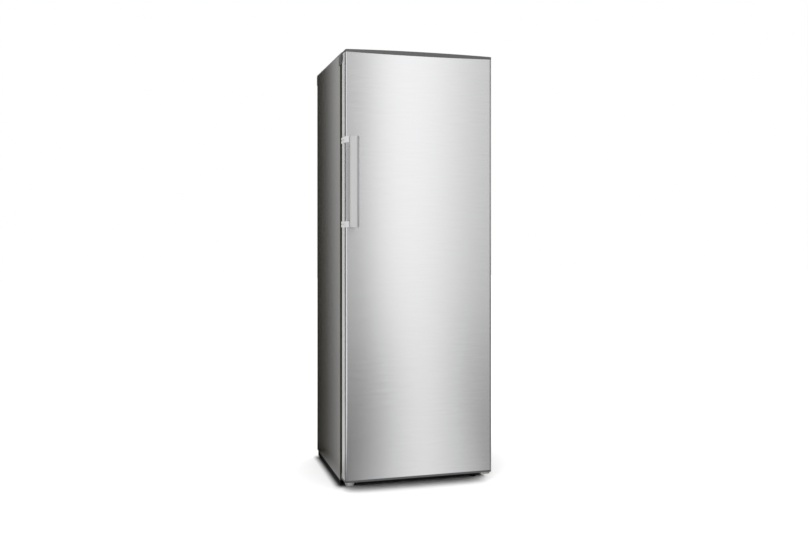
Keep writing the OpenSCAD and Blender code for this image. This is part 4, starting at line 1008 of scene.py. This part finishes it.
@dataclass(frozen=True)
class Interior(SubAssembly):
    """Shelves, crispers and the control housing with its lamp and knob, in millimetres.

    The bulb is radii and places along it, up to the neck where its screwed base begins. The
    pointer is its width, its length and how far it stands below the knob.
    """

    edge: float = 0.6
    glass_edge: float = 0.8
    bulb: tuple[tuple[float, float], ...] = (
        (0, 0), (3.9, 0.8), (7.1, 2.9), (9.2, 6.1), (9.9, 10), (9.1, 14.2), (7.4, 18.5), (6.2, 24), (6, 46),
    )
    base_radius: float = 6.4
    base_crest: float = 7.0
    base_root: float = 6.3
    base_pitch: float = 2.0
    base_plain: float = 4.0
    knob_flutes: int = 18
    knob_cut: float = 0.9
    knob_depth: float = 14.0
    hub: float = 5.0
    pointer: tuple[float, float, float] = (3.0, 14.0, 3.0)

    def shelves(self) -> None:
        """Dresses the glass, its moulded trims and the clear crispers."""
        panes = ("shelf_1", "shelf_2", "shelf_3", "shelf_4", "crisper_cover")
        self.dress(FLOAT_GLASS, panes, self.glass_edge)
        self.dress(MOULDED_WHITE, ("shelf_trims",))
        self.dress(CLEAR_POLYSTYRENE, ("crisper_left", "crisper_right"), self.edge)

    def control(self) -> None:
        """Dresses the housing, the lamp's lens and the door's switch."""
        self.dress(MOULDED_WHITE, ("control_housing", "switch_plunger"))
        self.dress(CLEAR_POLYSTYRENE, ("lamp_lens",), self.edge)

    def lamp(self) -> None:
        """Makes the bulb's glass and its screwed base, which lie along X."""
        low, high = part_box("lamp_bulb")
        middle = (low + high) / 2
        place = Matrix.Translation((low.x, middle.y, middle.z)) @ Matrix.Rotation(math.radians(90), 4, "Y")
        glass = bmesh.new()
        turned(glass, [Ring(r, z) for r, z in self.bulb], place)
        self.piece("lamp_glass", glass, Body.CABINET, BLOWN_GLASS, "bulb_glass", ("lamp_bulb",))
        base = bmesh.new()
        length = (high.x - low.x) / MM
        neck = self.bulb[-1][1]
        rings = [Ring(0, neck), Ring(self.base_radius, neck)]
        for k in range(int((length - neck - self.base_plain) / self.base_pitch)):
            rings.append(Ring(self.base_crest, neck + (k + 0.5) * self.base_pitch))
            rings.append(Ring(self.base_root, neck + (k + 1) * self.base_pitch))
        rings += [Ring(4, length - 1), Ring(0, length)]
        turned(base, rings, place, steps=32)
        self.piece("lamp_base", base, Body.CABINET, ZINC_PLATE, "zinc_steel", ())

    def knob(self) -> None:
        """Makes the fluted thermostat knob with its pointer, below the housing."""
        low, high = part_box("thermostat_knob")
        middle = (low + high) / 2
        radius = (high.x - low.x) / 2 / MM
        wide, long, face = self.pointer
        rim = face + self.knob_depth
        end = (high.z - low.z) / MM
        place = Matrix.Translation((middle.x, middle.y, low.z))
        mesh = bmesh.new()
        rings = [
            Ring(0, face + 0.6), Ring(radius - 4.5, face), Ring(radius - 2.6, face + 0.1),
            Ring(radius - 1.6, face + 0.9),
            Ring(radius - 0.8, face + 2.4, Form.FLUTED, self.knob_flutes, self.knob_cut),
            Ring(radius - 0.1, rim - 1.2, Form.FLUTED, self.knob_flutes, self.knob_cut),
            Ring(radius - 0.1, rim - 1.0), Ring(radius - 0.4, rim), Ring(self.hub, rim),
            Ring(self.hub, end - 0.4), Ring(self.hub - 0.4, end), Ring(0, end),
        ]
        turned(mesh, rings, place, steps=144)
        levels = []
        for inset, z in ((0.0, face + 1.0), (0.0, 1.0), (0.5, 0.2), (0.9, 0.0)):
            ring = oblong_ring(wide / 2 - inset, long / 2 - inset, wide / 2 - inset - 0.05, 4)
            levels.append(([(x, y - long / 2) for x, y in ring], z))
        stacked(mesh, levels, place)
        self.piece("fluted_knob", mesh, Body.KNOB, MOULDED_GREY, "grey_plastic", ("thermostat_knob",))

    def build(self) -> None:
        """Builds and dresses the inside."""
        self.shelves()
        self.control()
        self.lamp()
        self.knob()


@dataclass(frozen=True)
class CoolingSystem(SubAssembly):
    """The compressor, the condenser, the pipes and the drain, in millimetres.

    The shell is radii and heights, the plate insets and heights, and a stub radii and distances
    back from its open end.
    """

    edge: float = 0.8
    suction_z: float = 52.0
    outlet_z: float = 102.0
    shell: tuple[tuple[float, float], ...] = (
        (0, 3.4), (36, 3.4), (50, 6), (61, 12), (68.5, 22), (72.6, 36), (74, 54), (74, 87), (76.2, 88),
        (77, 89), (77, 92), (76.2, 93), (73, 93.6), (72.4, 96), (72.2, 106), (70.5, 117), (66, 127),
        (58, 134.5), (46, 139.6), (30, 141.6), (14, 142), (0, 142),
    )
    plate: tuple[tuple[float, float], ...] = (
        (1.2, 0.0), (0.0, 1.0), (0.0, 2.0), (1.2, 3.0), (24.0, 3.0), (27.0, 4.4), (40.0, 4.4),
    )
    plate_half: tuple[float, float] = (76.0, 66.0)
    plate_corner: float = 12.0
    stub: tuple[tuple[float, float], ...] = (
        (0, 22), (4, 22), (4, 13), (5.4, 12.4), (5.2, 10), (4, 8), (4, 0.3), (3.6, 0), (0, 0),
    )
    hose_flange: float = 6.0
    hose_wall: float = 2.0
    hose_plain: float = 6.0
    hose_groove: float = 0.9
    rib: float = 2.5

    def compressor(self) -> None:
        """Makes the pot's two drawn halves, the weld flange, the foot plate and the stubs."""
        low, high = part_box("compressor")
        middle = (low + high) / 2
        place = Matrix.Translation((middle.x, middle.y, low.z))
        mesh = bmesh.new()
        turned(mesh, [Ring(r, z) for r, z in self.shell], place, steps=96)
        half_x, half_y = self.plate_half
        levels = [
            (oblong_ring(half_x - inset, half_y - inset, self.plate_corner), z) for inset, z in self.plate
        ]
        stacked(mesh, levels, place)
        self.piece("compressor_pot", mesh, Body.CABINET, STOVED_ENAMEL, "black_iron", ("compressor",))
        stubs = bmesh.new()
        reach = (high.x - middle.x) / MM
        for side, z in ((-1, self.suction_z), (1, self.outlet_z)):
            aim = Matrix.Rotation(math.radians(90 * side), 4, "Y")
            spot = Matrix.Translation((middle.x, middle.y, low.z + z * MM)) @ aim
            turned(stubs, [Ring(r, reach - back) for r, back in self.stub], spot, steps=32)
        self.piece("compressor_stubs", stubs, Body.CABINET, DRAWN_COPPER, "copper", ())

    def niche(self) -> None:
        """Dresses the small parts round the compressor."""
        self.dress(MOULDED_RUBBER, ("compressor_mounts",), self.edge)
        self.dress(MOULDED_BLACK_AND_SHADE, ("relay_box", "mains_inlet", "condenser_clips"), self.edge)
        self.dress(MOULDED_GREY, ("evaporating_tray",), self.edge)

    def condenser(self) -> None:
        """Dresses the wire condenser, the pipes and the roll-bonded evaporator."""
        self.dress(BLACK_COAT, ("condenser_tube", "condenser_wires"))
        self.dress(DRAWN_COPPER, ("filter_drier", "refrigerant_pipes"))
        self.dress(ROLLED_ALUMINIUM, ("evaporator_plate",))

    def drain(self) -> None:
        """Makes the ribbed drain hose with its flange."""
        low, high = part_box("drain_hose")
        middle = (low + high) / 2
        place = Matrix.Translation((middle.x, middle.y, low.z))
        wide = (high.x - low.x) / 2 / MM
        tall = (high.z - low.z) / MM
        outer = wide - self.hose_flange
        bore = outer - self.hose_wall
        rings = [Ring(bore, 0.0), Ring(outer, 0.0)]
        for k in range(int((tall - self.hose_plain) / (2 * self.rib))):
            rings.append(Ring(outer, (2 * k + 1) * self.rib))
            rings.append(Ring(outer - self.hose_groove, (2 * k + 1.6) * self.rib))
            rings.append(Ring(outer, (2 * k + 2) * self.rib))
        rings += [
            Ring(outer, tall - 2), Ring(wide, tall - 1.6), Ring(wide, tall - 0.3), Ring(wide - 0.4, tall),
            Ring(bore, tall),
        ]
        mesh = bmesh.new()
        turned(mesh, rings, place, steps=40, closed=True)
        self.piece("ribbed_hose", mesh, Body.CABINET, MOULDED_GREY, "grey_plastic", ("drain_hose",))

    def build(self) -> None:
        """Builds and dresses the cooling system."""
        self.compressor()
        self.niche()
        self.condenser()
        self.drain()


@dataclass(frozen=True)
class Underside(SubAssembly):
    """The base frame, the plinth, the levelling feet and the rollers, in millimetres.

    The pad is insets from a foot's radius and heights, up to the stem, whose thread begins at its
    own height and is cut as deep as the groove.
    """

    edge: float = 0.5
    pad: tuple[tuple[float, float, Form], ...] = (
        (3.0, 0.0, Form.ROUND), (2.0, 0.8, Form.ROUND), (2.0, 3.4, Form.ROUND), (1.2, 4.2, Form.FLUTED),
        (0.6, 5.0, Form.FLUTED), (0.6, 11.2, Form.FLUTED), (0.6, 12.0, Form.ROUND),
        (0.0, 12.8, Form.ROUND), (0.0, 18.2, Form.ROUND), (0.8, 19.0, Form.ROUND),
    )
    stem: float = 5.0
    stem_z: float = 19.0
    thread_z: float = 20.0
    pitch: float = 1.75
    groove: float = 0.7

    def rails(self) -> None:
        """Dresses the frame, the plinth, the rollers and their axles."""
        # The frame's and the plinth's black is partly painted shade, for the deep shade under the fridge.
        self.dress(DIPPED_BLACK_AND_SHADE, ("base_frame", "compressor_rail"))
        self.dress(MOULDED_BLACK_AND_SHADE, ("plinth",))
        self.dress(MOULDED_BLACK_AND_SHADE, ("roller_left", "roller_right"), self.edge)
        self.dress(ZINC_PLATE, ("roller_axles",))

    def foot(self, name: str, body: Body, finish: Finish, slot: str) -> None:
        """Makes one levelling foot: a pad, a scalloped collar and a threaded stem.

        Args:
            name: the CAD node that the foot stands for.
            body: the body that it rides on.
            finish: its surface.
            slot: the record's slot for it.
        """
        low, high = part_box(name)
        middle = (low + high) / 2
        radius = (high.x - low.x) / 2 / MM
        tall = (high.z - low.z) / MM
        place = Matrix.Translation((middle.x, middle.y, low.z))
        rings = [Ring(0, 0)]
        rings += [Ring(radius - inset, height, form) for inset, height, form in self.pad]
        rings += [Ring(self.stem + 2, self.stem_z), Ring(self.stem, self.stem_z + 0.4)]
        top = self.thread_z
        while top < tall - self.pitch:
            rings.append(Ring(self.stem - self.groove, top))
            rings.append(Ring(self.stem, top + self.pitch / 2))
            top += self.pitch
        rings += [Ring(self.stem - 0.8, tall), Ring(0, tall)]
        mesh = bmesh.new()
        turned(mesh, rings, place, steps=144)
        self.piece("levelling_" + name, mesh, body, finish, slot, (name,))

    def build(self) -> None:
        """Builds and dresses the underside."""
        self.rails()
        # The two feet are one part: the left one's pale tone is partly painted light, and the right one's
        # black is painted shade, as it hides in the shadow under the door.
        self.foot("foot_left", Body.FOOT_LEFT, MOULDED_PALE_PAINTED_LIGHT, "grey_plastic")
        self.foot("foot_right", Body.FOOT_RIGHT, MOULDED_BLACK_AND_SHADE, "black_plastic")


def main() -> None:
    """Builds the studio and every sub-assembly."""
    logging.basicConfig(level=logging.INFO)
    bpy.context.scene.view_settings.view_transform = "Standard"
    Studio().build()
    for part in (DoorAssembly(), Cabinet(), Interior(), CoolingSystem(), Underside()):
        part.build()


if __name__ == "__main__":
    main()
